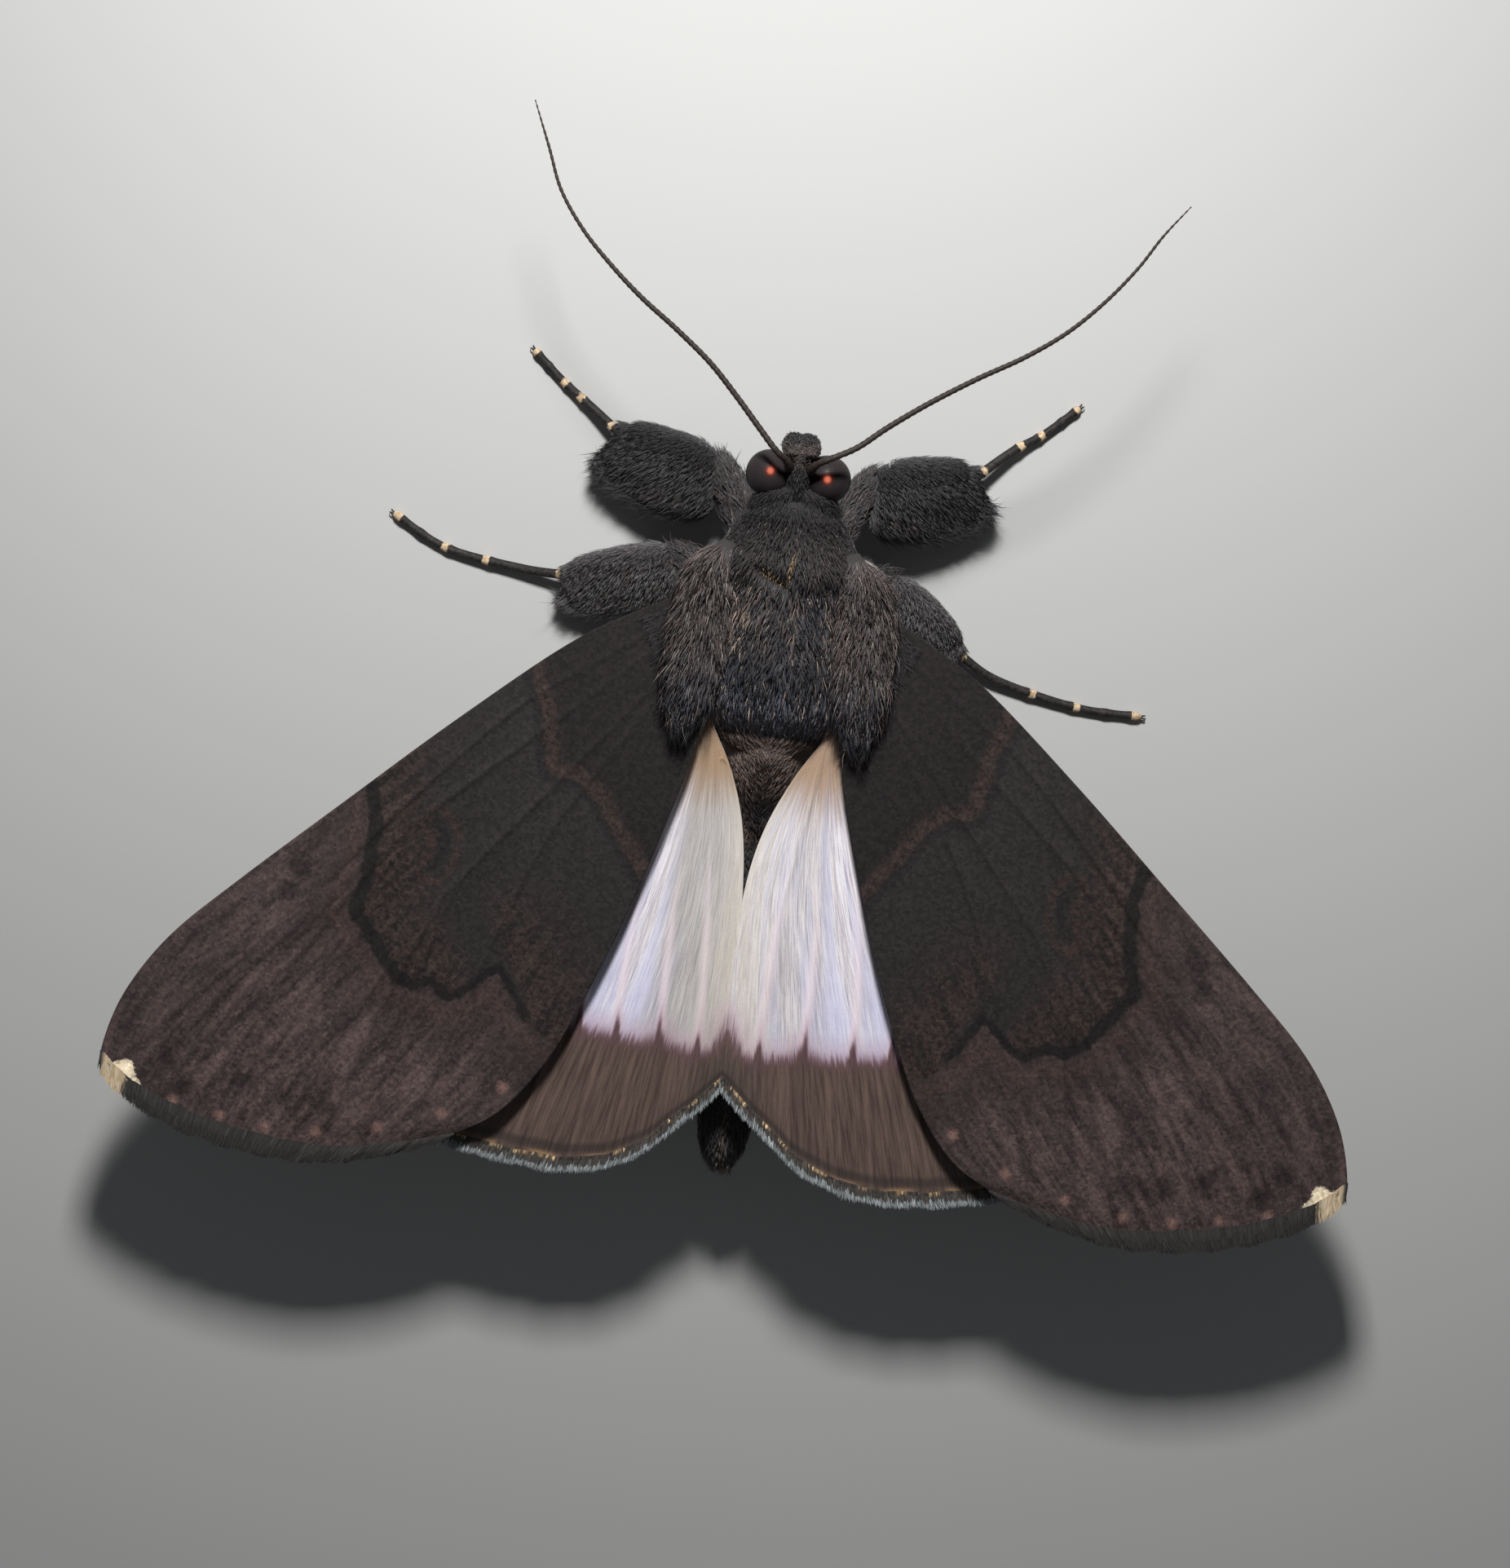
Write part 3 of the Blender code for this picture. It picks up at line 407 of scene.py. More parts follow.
class Coat:
    """Tufts of one piece, with their places on the unwrap of the skin that they grow on."""

    def __init__(self, name, slot, seed, finish=None):
        self.name, self.slot, self.finish = name, slot, finish or COAT_FINISH
        self.draw = np.random.default_rng(seed)
        self.parts = []

    def grow(self, root, normal, lie, place, length, width, lift, sag, tint, flat=0.5, sink=0.08):
        """Adds tufts. Place is 0 to 1 across and along the skin's own unwrap."""
        points, faces = tufts(root, normal, lie, length, width, lift, sag, self.draw, flat, sink)
        patch = np.stack([TUFT_ACROSS - 0.5, TUFT_ALONG - 0.5], -1) * PATCH
        uv = ((UNWRAP_EDGE + UNWRAP_SPAN * place)[:, None] + patch[None]).reshape(-1, 2)
        points[:, 2] = np.maximum(points[:, 2], HAIR_LOWEST)
        self.parts.append((points, faces, uv, np.repeat(tint, len(TUFT_ALONG), axis=0),
                           np.tile(TUFT_ALONG, len(root))))

    def on_tube(self, tube, count, shares, angles, style, strip=(0, 1), ratio=1.0):
        """Adds tufts over a part of a tube. Style gives lie, sizes and tint from place and normal."""
        u, v = scatter(count, ratio, self.draw)
        share = shares[0] + (shares[1] - shares[0]) * v
        angle = angles[0] + (angles[1] - angles[0]) * u
        root, normal = tube.at(share, angle), tube.normal(share, angle)
        across = (strip[0] + (angle / (2 * math.pi) + 0.5) % 1) / strip[1]
        self.grow(root, normal, place=np.stack([across, share], -1),
                  **style(root, normal, share, angle, self.draw))

    def done(self):
        points, faces, uv, tint, along = join(self.parts)
        add_piece(self.name, points, faces, self.finish,
                  numbers={"along": along}, colours={"tint": tint}, maps={"OFBake": uv},
                  rounded=self.finish is not FRINGE_FINISH)


def tinted(share, draw, *colours, spread=0.25):
    """Tints along a row of colours by a share 0 to 1, each brighter or darker by a random part."""
    knots = np.linspace(0, 1, len(colours))
    share = np.clip(share, 0, 1)
    mixed = np.stack([np.interp(share, knots, np.array(colours)[:, k]) for k in range(3)], -1)
    return mixed * np.exp(draw.normal(0, spread, (len(share), 1)))


def uneven(spread, n, draw):
    """Factors about 1, whose logarithms scatter by a spread, so that no two hairs are alike."""
    return np.exp(draw.normal(0, spread, n))


def speckled(n, draw, *colours, spread=0.25):
    """Tints at random places along a row of colours."""
    return tinted(draw.uniform(size=n), draw, *colours, spread=spread)


def swept(out, sway, bob, draw):
    """Directions back along the body and out by a share, each swayed to the side and up or down."""
    n = len(out)
    return np.stack([out + draw.normal(0, sway, n), -np.ones(n), draw.normal(0, bob, n)], -1)


# Wings


class Wing:
    """A wing between four plan edges, by the Coons patch of its costa, inner margin, root and outer margin.

    A point at share s out from the root and t back from the costa is the mean of the two rulings less the
    corners'.
    """

    def __init__(self, costa, outer, inner, height, side, veins, rim, meet=0.0, above=0.0):
        self.costa, self.outer, self.inner = spline(costa, 300), spline(outer, 300), spline(inner, 300)
        self.root = np.linspace(self.costa[0], self.inner[0], 300)
        self.height, self.side, self.rim, self.meet, self.above = height, side, rim, meet, above
        self.veins = [self.vein(*v) for v in veins]

    def vein(self, share, start, corner, bow):
        """A straight stem from the root to a corner of the cell, then a curve that bows out to the margin."""
        end, start, corner = walk(self.outer, share), np.array(start), np.array(corner)
        reach = corner + (corner - start) * bow
        t = np.linspace(0, 1, 24)[:, None]
        return np.vstack([start, (1 - t) ** 2 * corner + 2 * t * (1 - t) * reach + t**2 * end])

    def plan(self, s, t):
        s, t = np.broadcast_arrays(np.asarray(s, float), np.asarray(t, float))
        u, v = s[..., None], t[..., None]
        ruled = (1 - v) * walk(self.costa, s) + v * walk(self.inner, s)
        across = (1 - u) * walk(self.root, t) + u * walk(self.outer, t)
        corners = (1 - u) * (1 - v) * self.costa[0] + u * (1 - v) * self.costa[-1]
        corners = corners + (1 - u) * v * self.inner[0] + u * v * self.inner[-1]
        return ruled + across - corners

    def stop(self, t):
        """The share at which the membrane ends, short of the fringe's tips by the rim."""
        reach = np.linalg.norm(walk(self.outer, t) - walk(self.root, t), axis=-1)
        return 1 - self.rim / reach

    def place(self, plan, above=0.0):
        """Points at the wing's height over the plan, on its side, its inner part moved to meet the other."""
        x, y = plan[..., 0], plan[..., 1]
        near = np.clip(1 - x / 5.0, 0, 1) * step(2, -7, y)
        return np.stack([x * self.side + self.meet * near, y, self.height(x, y) + above + self.above * near],
                        -1)


def wing_mesh(wing, rows, columns, thick, relief):
    """Closed membrane: an upper and a lower grid, a thickness apart, joined round their rim."""
    s, t = np.meshgrid(np.linspace(0, 1, rows) ** 0.9, np.linspace(0, 1, columns), indexing="ij")
    half = thick / 2 * (1 - 0.7 * step(0.93, 1, s))
    s = s * wing.stop(t)
    plan = wing.plan(s, t)
    vein = np.min([line_distance(plan, line) for line in wing.veins], axis=0)
    rise = relief(plan, s, t, vein)
    upper = wing.place(plan, rise + half)
    lower = wing.place(plan, rise - half)
    n = rows * columns
    faces = grid_faces(rows, columns)
    i, j = np.arange(rows), np.arange(columns)
    border = np.concatenate([i[:-1] * columns, (rows - 1) * columns + j[:-1],
                             i[:0:-1] * columns + columns - 1, j[:0:-1]])
    after = np.roll(border, -1)
    rim = np.vstack([np.stack([border, after, after + n], -1), np.stack([border, after + n, border + n], -1)])
    faces = np.vstack([faces, faces[:, ::-1] + n, rim])
    if wing.side < 0:
        faces = faces[:, ::-1]
    points = np.vstack([upper.reshape(-1, 3), lower.reshape(-1, 3)])
    twice = lambda field: np.tile(field.ravel(), 2)
    return points, faces, plan, s, t, vein, twice


FOREWING_COSTA = [(2.6, 5.9), (5.1, 4.7), (8.1, 2.9), (12.3, -0.65), (16.35, -4.35), (20.35, -8.05),
                  (22.9, -10.6), (24.52, -13.05), (25.28, -15.25), (25.35, -16.7)]
FOREWING_OUTER = [(25.35, -16.7), (24.1, -17.7), (22.0, -18.6), (19.3, -19.15), (16.4, -19.25), (13.9, -18.7),
                  (11.7, -17.9)]
FOREWING_INNER = [(2.5, 1.8), (2.95, -1.1), (3.9, -4.5), (5.05, -8.2), (6.5, -12.0), (7.7, -14.4),
                  (9.3, -16.4), (11.7, -17.9)]
HINDWING_COSTA = [(2.6, 1.6), (6.0, -1.6), (10.5, -7.0), (14.2, -11.8), (16.3, -15.0)]
HINDWING_OUTER = [(16.3, -15.0), (15.6, -16.6), (13.8, -17.6), (11.7, -18.1), (10.2, -18.45), (8.0, -18.75),
                  (5.8, -18.75), (3.7, -18.0), (2.1, -16.6), (0.2, -14.7)]
HINDWING_INNER = [(2.2, 0.1), (1.3, -1.6), (0.62, -3.7), (0.28, -6.2), (0.2, -9.5), (0.2, -14.7)]

FORE_R = ((2.6, 5.0), (12.6, -4.0))
FORE_CU = ((2.6, 4.2), (11.3, -6.6))
FORE_VEINS = [
    (0.07, *((2.6, 5.4), (9.0, 0.9)), 0.5), (0.0, *FORE_R, 0.35), (0.08, *FORE_R, 0.4), (0.16, *FORE_R, 0.4),
    (0.28, *FORE_R, 0.35), (0.4, *FORE_R, 0.2), (0.53, *FORE_CU, 0.35), (0.66, *FORE_CU, 0.25),
    (0.79, *FORE_CU, 0.15), (0.92, *((2.6, 4.2), (7.6, -3.6)), 0.4),
]
HIND_RS = ((2.6, 1.2), (7.6, -6.0))
HIND_CU = ((2.5, 0.9), (5.6, -7.2))
HIND_VEINS = [
    (0.04, *((2.6, 1.4), (8.2, -5.2)), 0.6), (0.14, *HIND_RS, 0.4), (0.26, *HIND_RS, 0.3),
    (0.38, *HIND_CU, 0.4), (0.48, *HIND_CU, 0.3), (0.58, *HIND_CU, 0.2),
    (0.69, *((2.5, 0.9), (4.2, -6.0)), 0.5), (0.8, *((2.4, 0.6), (2.9, -6.0)), 0.5),
    (0.91, *((2.3, 0.3), (1.7, -6.0)), 0.5),
]

# Marks of the wings, in plan for the right side
INNER_LINE = [(10.6, 4.0), (9.7, 1.5), (9.2, 0.2), (8.95, -1.2), (8.75, -2.3), (8.4, -2.55), (7.5, -2.65),
              (6.65, -3.3),
              (6.1, -4.2), (5.2, -5.4), (4.0, -7.2), (2.0, -10.0)]
OUTER_LINE = [(17.0, 0.0), (15.6, -3.4), (15.2, -5.0), (15.3, -6.2), (15.4, -7.4), (15.8, -8.6), (15.1, -9.6),
              (14.6, -10.3),
              (13.9, -11.1), (13.1, -11.6), (12.4, -11.35), (11.6, -11.9), (10.8, -11.4), (10.3, -10.9),
              (9.7, -10.4), (9.3, -11.1), (8.5, -12.3), (7.3, -13.2), (4.0, -15.5)]
KIDNEY = [(12.6, -4.7), (12.3, -5.3), (12.3, -6.1), (12.7, -6.7)]
SHADE = [(12.2, -3.2), (11.7, -5.8), (11.0, -8.6), (9.6, -11.3)]
TIP_SPOT = [(25.6, -16.6), (25.15, -16.4), (24.8, -16.5), (24.3, -16.25), (24.25, -16.6), (24.0, -16.9),
            (24.2, -17.4), (24.4, -17.9)]
EDGE_DOTS = [(22.3, -17.35), (20.35, -17.75), (18.45, -18.0), (16.4, -17.95), (13.95, -17.45), (11.4, -16.6),
             (9.1, -15.2)]
PATCHES = [(17.9, -7.1), (18.2, -8.2), (22.6, -15.6), (21.9, -16.6), (19.5, -16.1), (17.9, -16.5),
           (16.2, -16.8)]
WHITE_EDGE = [(15.5, -9.6), (12.0, -10.9), (9.0, -11.9), (6.6, -12.45), (5.7, -12.5), (4.6, -12.65),
              (3.8, -12.75), (2.9, -12.45), (2.4, -12.8), (1.45, -13.05), (0.9, -12.8), (0.5, -12.1),
              (0.1, -11.4)]


def forewing_height(x, y):
    """A low roof, highest along the inner margin and lower at the costa and the tip."""
    back = (x + y) / 8.0 + 1.2
    out = np.clip((x - y) / 42.0, 0, 1)
    return 8.6 - 0.045 * back**2 * np.sign(back) - 0.75 * out**2


def hindwing_height(x, y):
    """Laid just under the forewing and over the abdomen."""
    return 7.68 - 0.0008 * y**2 - 0.0009 * x**2


def forewing_relief(plan, s, t, vein):
    """Veins stand up as low rounded ridges, and the rest sinks between them."""
    ridge = 0.07 * np.exp(-((vein / 0.13) ** 2)) * (0.25 + 0.75 * step(0.15, 0.4, s))
    sag = -0.09 * (1 - np.exp(-((vein / 0.8) ** 2))) * step(0.15, 0.6, s)
    curl = -0.12 * step(0.9, 1, s) * step(0.2, 0.9, t)
    return ridge + sag + curl


def hindwing_relief(plan, s, t, vein):
    """Folded like a fan: veins ride the crests, with deeper pleats towards the inner margin."""
    ridge = 0.08 * np.exp(-((vein / 0.16) ** 2))
    depth = 0.1 + 0.14 * step(0.55, 0.95, t)
    pleat = -depth * (1 - np.exp(-((vein / 0.55) ** 2))) * step(0.05, 0.3, s)
    return ridge + pleat


FOREWINGS = {
    name: Wing(FOREWING_COSTA, FOREWING_OUTER, FOREWING_INNER, forewing_height, side, FORE_VEINS, 0.8)
    for name, side in SIDES.items()
}
HINDWINGS = {
    name: Wing(HINDWING_COSTA, HINDWING_OUTER, HINDWING_INNER, hindwing_height, side, HIND_VEINS, 0.55, meet,
               above)
    for name, side, meet, above in (("left", -1, -0.1, -0.03), ("right", 1, -0.62, 0.1))
}


# Rows, columns and thickness of a membrane, the reach of its margin's distances and the size of its unwrap
FORE_SHEET = ((170, 160), 0.12, 24, (22, 26))
HIND_SHEET = ((130, 150), 0.1, 18, (18, 19))


def spot_distance(plan, spots):
    """Distance of plan points to the nearest of some spots."""
    return np.min([np.linalg.norm(plan - np.array(p), axis=-1) for p in spots], axis=0)


def forewing_marks(plan, s, t):
    """Distances of the forewing's lines, spots and clouds."""
    return {
        "inner_line": past(plan, INNER_LINE, [(-5, -10.0), (-5, 8), (10.6, 8)]),
        "outer_line": past(plan, OUTER_LINE, [(-5, -15.5), (-5, 8), (17, 8)]),
        "kidney": line_distance(plan, spline(KIDNEY, 20)),
        "shade": line_distance(plan, spline(SHADE, 30)),
        "dots": spot_distance(plan, EDGE_DOTS),
        "patches": spot_distance(plan, PATCHES),
        "tip_spot": past(plan, TIP_SPOT),
    }


def hindwing_marks(plan, s, t):
    """Distance of the white field's edge."""
    return {"white_edge": past(plan, WHITE_EDGE, [(-5, -11.4), (-5, 5), (20, 5)])}


def add_membrane(kind, name, wing, sheet, relief, finish, marks, dull=None):
    """A wing's membrane, with the distances that its finish reads and a mark for the under face."""
    grid, thick, reach, unwrap = sheet
    points, faces, plan, s, t, vein, twice = wing_mesh(wing, *grid, thick, relief)
    numbers = {"vein": vein, **marks(plan, s, t)}
    if dull:
        # Painted shade over the inner part of a hindwing, stronger on the left one.
        numbers["dull"] = dull * step(0.62, 0.73, t + 0.1 * step(0.6, 0.2, s))
    numbers.update({"margin": (1 - s) * reach, "back": t, "out": s})
    numbers = {key: twice(field) for key, field in numbers.items()}
    numbers["under"] = np.r_[np.zeros(s.size), np.ones(s.size)]
    maps = {"lie": np.stack([twice(t) * unwrap[0], twice(s) * unwrap[1]], -1)}
    add_piece(f"membrane_{kind}_{name}", points, faces, finish, [f"{kind}wing_{name}"],
              numbers=numbers, maps=maps)


def make_wings():
    """Membranes of the four wings. The left hindwing's inner part carries the stronger painted shade."""
    for name, side in SIDES.items():
        add_membrane("fore", name, FOREWINGS[name], FORE_SHEET, forewing_relief, FOREWING_FINISH,
                     forewing_marks)
        add_membrane("hind", name, HINDWINGS[name], HIND_SHEET, hindwing_relief, HINDWING_FINISH,
                     hindwing_marks, 0.85 if side < 0 else 0.3)


def fringe_blades(coat, wing, relief, count, shares, length, scallops, tint, above=0.0):
    """Rows of narrow scales along the outer margin, their tips on a line scalloped between the veins."""
    draw = coat.draw
    t = np.sort(draw.uniform(*shares, count))
    s = wing.stop(t) - 0.007
    edge = wing.plan(s, t)
    rise = relief(edge, s, t, np.min([line_distance(edge, line) for line in wing.veins], axis=0))
    outward = unit(walk(wing.outer, t) - edge)
    lie = np.stack([outward[:, 0] * wing.side, outward[:, 1], draw.normal(-0.08, 0.04, count)], -1)
    root = wing.place(edge, rise + above + draw.uniform(-0.02, 0.02, count))
    dip = 0.5 + 0.5 * np.cos(2 * math.pi * t * scallops)
    size = (length + 0.08) * (1 - 0.1 * dip) * uneven(0.06, count, draw)
    normal = np.tile((0.0, 0.0, 1.0), (count, 1))
    place = np.stack([t, draw.uniform(0.4, 0.6, count)], -1)
    coat.grow(root, normal, lie, place, size, 0.1, 0.0, 0.04, tint(t, draw), flat=0.12, sink=0.0)


def row(*colours, spread=0.2):
    """Tints for a fringe, drawn at random along a row of colours."""
    return lambda t, draw: speckled(len(t), draw, *colours, spread=spread)


def spotted(t, draw):
    """Tints for the line of small orange and cream dashes at the foot of the hindwing's fringe."""
    spots = (clumps(t + draw.normal(0, 0.003, len(t)), 40, draw) > 0.66)[:, None]
    pale = speckled(len(t), draw, (0.16, 0.085, 0.045), (0.58, 0.44, 0.26), spread=0.4)
    return np.where(spots, pale, speckled(len(t), draw, (0.035, 0.032, 0.03), (0.085, 0.07, 0.06)))


def make_fringes():
    """Fringes of both wings: a long row, a shorter darker one over its foot, and the hindwing's dashes."""
    dark = row((0.05, 0.045, 0.041), (0.11, 0.096, 0.086))
    pale = row((0.13, 0.14, 0.145), (0.44, 0.48, 0.5), spread=0.25)

    def tipped(*colours):
        def tint(t, draw):
            tip = (step(0.1, 0.08, t + draw.normal(0, 0.004, len(t))) * step(0.004, 0.02, t))[:, None]
            cream = row((0.62, 0.46, 0.28), (0.8, 0.68, 0.5), spread=0.1)(t, draw)
            return row(*colours)(t, draw) * (1 - tip) + cream * tip
        return tint

    # Wings, relief, seed, scallops, and rows of a count, shares of the margin, length, tint and height above
    fringes = {
        "fore": (FOREWINGS, forewing_relief, 31, 9, [
            (3000, (0.0, 1.0), 0.92, tipped((0.030, 0.029, 0.028), (0.044, 0.042, 0.040)), 0.0),
            (1900, (0.0, 1.0), 0.5, tipped((0.038, 0.036, 0.034), (0.06, 0.056, 0.053)), 0.02),
        ]),
        "hind": (HINDWINGS, hindwing_relief, 41, 10, [
            (2600, (0.02, 1.0), 0.66, pale, 0.0),
            (1800, (0.02, 1.0), 0.42, dark, 0.02),
            (1000, (0.1, 1.0), 0.12, spotted, 0.03),
        ]),
    }
    for name, side in SIDES.items():
        for kind, (wings, relief, seed, scallops, rows) in fringes.items():
            coat = Coat(f"fringe_{kind}_{name}", f"{kind}wing", seed + side, FRINGE_FINISH)
            for count, shares, length, tint, above in rows:
                fringe_blades(coat, wings[name], relief, count, shares, length, scallops, tint, above)
            coat.done()


# Body

BODY = Tube(
    [
        (0, -18.25, 4.7, 0.15, 0.15), (0, -18.0, 4.68, 0.6, 0.5), (0, -17.0, 4.6, 1.0, 0.9),
        (0, -15.0, 4.52, 1.28, 1.19), (0, -12.0, 4.46, 1.7, 1.58), (0, -8.5, 4.45, 2.05, 1.91),
        (0, -5.0, 4.65, 2.1, 2.1), (0, -3.2, 5.1, 1.7, 2.2), (0, -1.9, 5.6, 1.6, 2.3),
        (0, -0.6, 6.1, 1.8, 2.35), (0, 0.0, 6.3, 2.35, 2.4), (0, 1.0, 6.55, 2.85, 2.85),
        (0, 2.5, 6.6, 3.05, 3.05), (0, 4.0, 6.6, 3.05, 3.05), (0, 5.5, 6.65, 2.95, 3.05),
        (0, 6.6, 6.75, 2.85, 3.05), (0, 7.5, 6.8, 2.4, 2.7), (0, 8.3, 6.9, 1.95, 2.15),
        (0, 8.7, 6.9, 1.7, 1.85), (0, 9.0, 6.95, 1.5, 1.58), (0, 9.4, 7.0, 1.25, 1.3),
        (0, 9.8, 7.0, 0.52, 1.38), (0, 10.3, 7.0, 0.42, 1.32), (0, 10.8, 6.95, 0.38, 1.02),
        (0, 11.05, 6.9, 0.25, 0.5),
     (0, 11.12, 6.88, 0.08, 0.15),
    ],
    along=(0, 1, 0),
    count=400,
)

LEGS = {
    "foreleg_left": (
        [(-1.3, 7.0, 3.6), (-1.9, 8.2, 2.6), (-3.0, 10.0, 2.1)],
        [(-5.2, 10.5, 1.65), (-7.5, 11.0, 0.9)],
        [(-8.6, 11.8, 0.5), (-10.0, 12.8, 0.22), (-11.3, 13.95, 0.22)],
    ),
    "foreleg_right": (
        [(1.3, 7.0, 3.6), (1.9, 8.2, 2.6), (3.0, 10.0, 2.1)],
        [(5.2, 10.5, 1.65), (7.5, 10.8, 0.9)],
        [(8.9, 12.0, 0.5), (10.1, 12.8, 0.22), (11.45, 14.05, 0.22)],
    ),
    "midleg_left": (
        [(-1.6, 4.6, 2.9), (-2.6, 5.4, 2.5), (-4.3, 6.2, 2.3)],
        [(-6.6, 5.6, 1.6), (-9.1, 4.85, 0.8)],
        [(-11.0, 4.9, 0.4), (-14.2, 5.4, 0.22), (-16.5, 6.6, 0.22)],
    ),
    "midleg_right": (
        [(1.6, 4.6, 2.9), (2.6, 5.4, 2.5), (3.9, 6.1, 2.3)],
        [(5.8, 5.0, 1.6), (7.6, 3.4, 0.8)],
        [(9.4, 2.4, 0.4), (12.9, 1.6, 0.22), (15.7, 1.5, 0.22)],
    ),
}
HINDLEG = (
    [(1.5, 1.9, 3.1), (2.9, 0.9, 3.3), (4.6, -0.8, 3.8)],
    [(6.4, -4.0, 2.8), (8.1, -7.2, 1.3)],
    [(8.9, -9.3, 0.4), (9.7, -12.2, 0.22), (10.2, -14.6, 0.22)],
)
LEGS["hindleg_left"] = tuple([(-x, y, z) for x, y, z in part] for part in HINDLEG)
LEGS["hindleg_right"] = HINDLEG


class Leg:
    """Femur and tibia as tubes, the tibia set back where it carries a brush, and the foot's path."""

    def __init__(self, name, femur, tibia, foot):
        self.name, self.brush = name, {"fore": 1.0, "midl": 0.72, "hind": 0.0}[name[:4]]
        knee, ankle = np.array(femur[-1]), np.array(tibia[-1])
        self.along = unit(ankle - knee)
        ahead = unit(np.cross(ankle - knee, (0, 0, 1)))
        self.ahead = ahead * np.sign(ahead[1])
        path = spline([*femur, knee + 0.15 * unit(knee - np.array(femur[1]))], 7)
        self.femur = Tube(np.column_stack([path, [0.4, 0.55, 0.64, 0.64, 0.6, 0.5, 0.34],
                                           [0.4, 0.5, 0.56, 0.56, 0.52, 0.44, 0.3]]), count=60)
        path = spline([knee, *tibia], 8)
        swell = np.array([0.5, 0.8, 0.9, 0.92, 0.92, 0.9, 0.78, 0.4]) * self.brush
        wide = np.array([0.32, 0.5, 0.55, 0.55, 0.52, 0.48, 0.38, 0.2]) + swell * 0.75
        high = np.array([0.3, 0.5, 0.62, 0.66, 0.62, 0.52, 0.38, 0.2])
        self.tibia = Tube(np.column_stack([path - swell[:, None] * self.ahead * 0.72, wide, high]), count=80)
        self.foot = spline([ankle, *foot], 120)


def tegula_tube(side):
    """Core of the shoulder cover, from the collar back over the wing's root."""
    path = [(side * 2.3, 7.4, 8.1), (side * 2.95, 5.4, 8.6), (side * 3.2, 3.0, 8.8), (side * 3.35, 0.7, 8.8)]
    return Tube(np.column_stack([spline(path, 6), [0.4, 1.0, 1.1, 1.05, 0.8, 0.2],
                                 [0.25, 0.5, 0.52, 0.48, 0.38, 0.1]]))


def palp_tube(side):
    """A palp: two bulging joints that rise before the face and a slim last one."""
    middle = side * 0.26
    path = spline([(middle, 11.1, 5.2), (middle, 11.35, 6.0), (middle, 11.35, 6.9), (middle, 11.15, 8.0)], 8)
    return Tube(np.column_stack([path, [0.2, 0.32, 0.4, 0.42, 0.42, 0.42, 0.38, 0.16],
                                 [0.2, 0.36, 0.42, 0.42, 0.4, 0.36, 0.3, 0.1]]), up=(0, 1, 0), count=60)


def make_skin():
    """One skin for body, legs, shoulder covers and palps, in place of all the nodes of flesh."""
    parts = [BODY.skin(300, 64)]
    parts += [tube.skin(40, 20) for leg in LIMBS for tube in (leg.femur, leg.tibia)]
    parts += [tube.skin(40, 20) for tube in (*TEGULAE.values(), *PALPS.values())]
    points, faces, share, angle = join(parts)
    flesh = ["head", "collar", "thorax", "abdomen"]
    flesh += [f"{part}_{name}" for part in ("tegula", "palp") for name in SIDES]
    flesh += [f"{leg.name}_{part}" for leg in LIMBS for part in ("femur", "tibia")]
    add_piece("body_skin", points, faces, SKIN_FINISH, flesh,
              maps={"OFBake": np.stack([angle / 7, share], -1)})


# Coats. Places along the body, as y in millimetres: 11.1 tip of the face, 9.0 neck, 6.05 point of the
# collar's V, 0 waist, -1.2 to -6.5 the brown fold between the hindwings, -18.25 end of the abdomen

# The bluish tints, SLATE and the blue black, are black scales with a painted blue sheen.
BLACK, SOOT, SLATE = (0.036, 0.034, 0.037), (0.047, 0.043, 0.044), (0.066, 0.069, 0.085)
SHEEN_BLUE_BLACK, EARTH, TAN = (0.033, 0.037, 0.052), (0.078, 0.060, 0.054), (0.24, 0.185, 0.135)
ROSE, GREY = (0.17, 0.115, 0.105), (0.125, 0.125, 0.13)
FROST = (GREY, ROSE, (0.26, 0.24, 0.23))


def frosted(tint, share, draw, *pale):
    """Tints of which a random share is swapped for pale ones, and 1 where that is so."""
    fleck = 1.0 * (draw.uniform(size=len(tint)) < share)
    return np.where(fleck[:, None] > 0, tinted(draw.uniform(size=len(tint)) ** 1.5, draw, *pale), tint), fleck


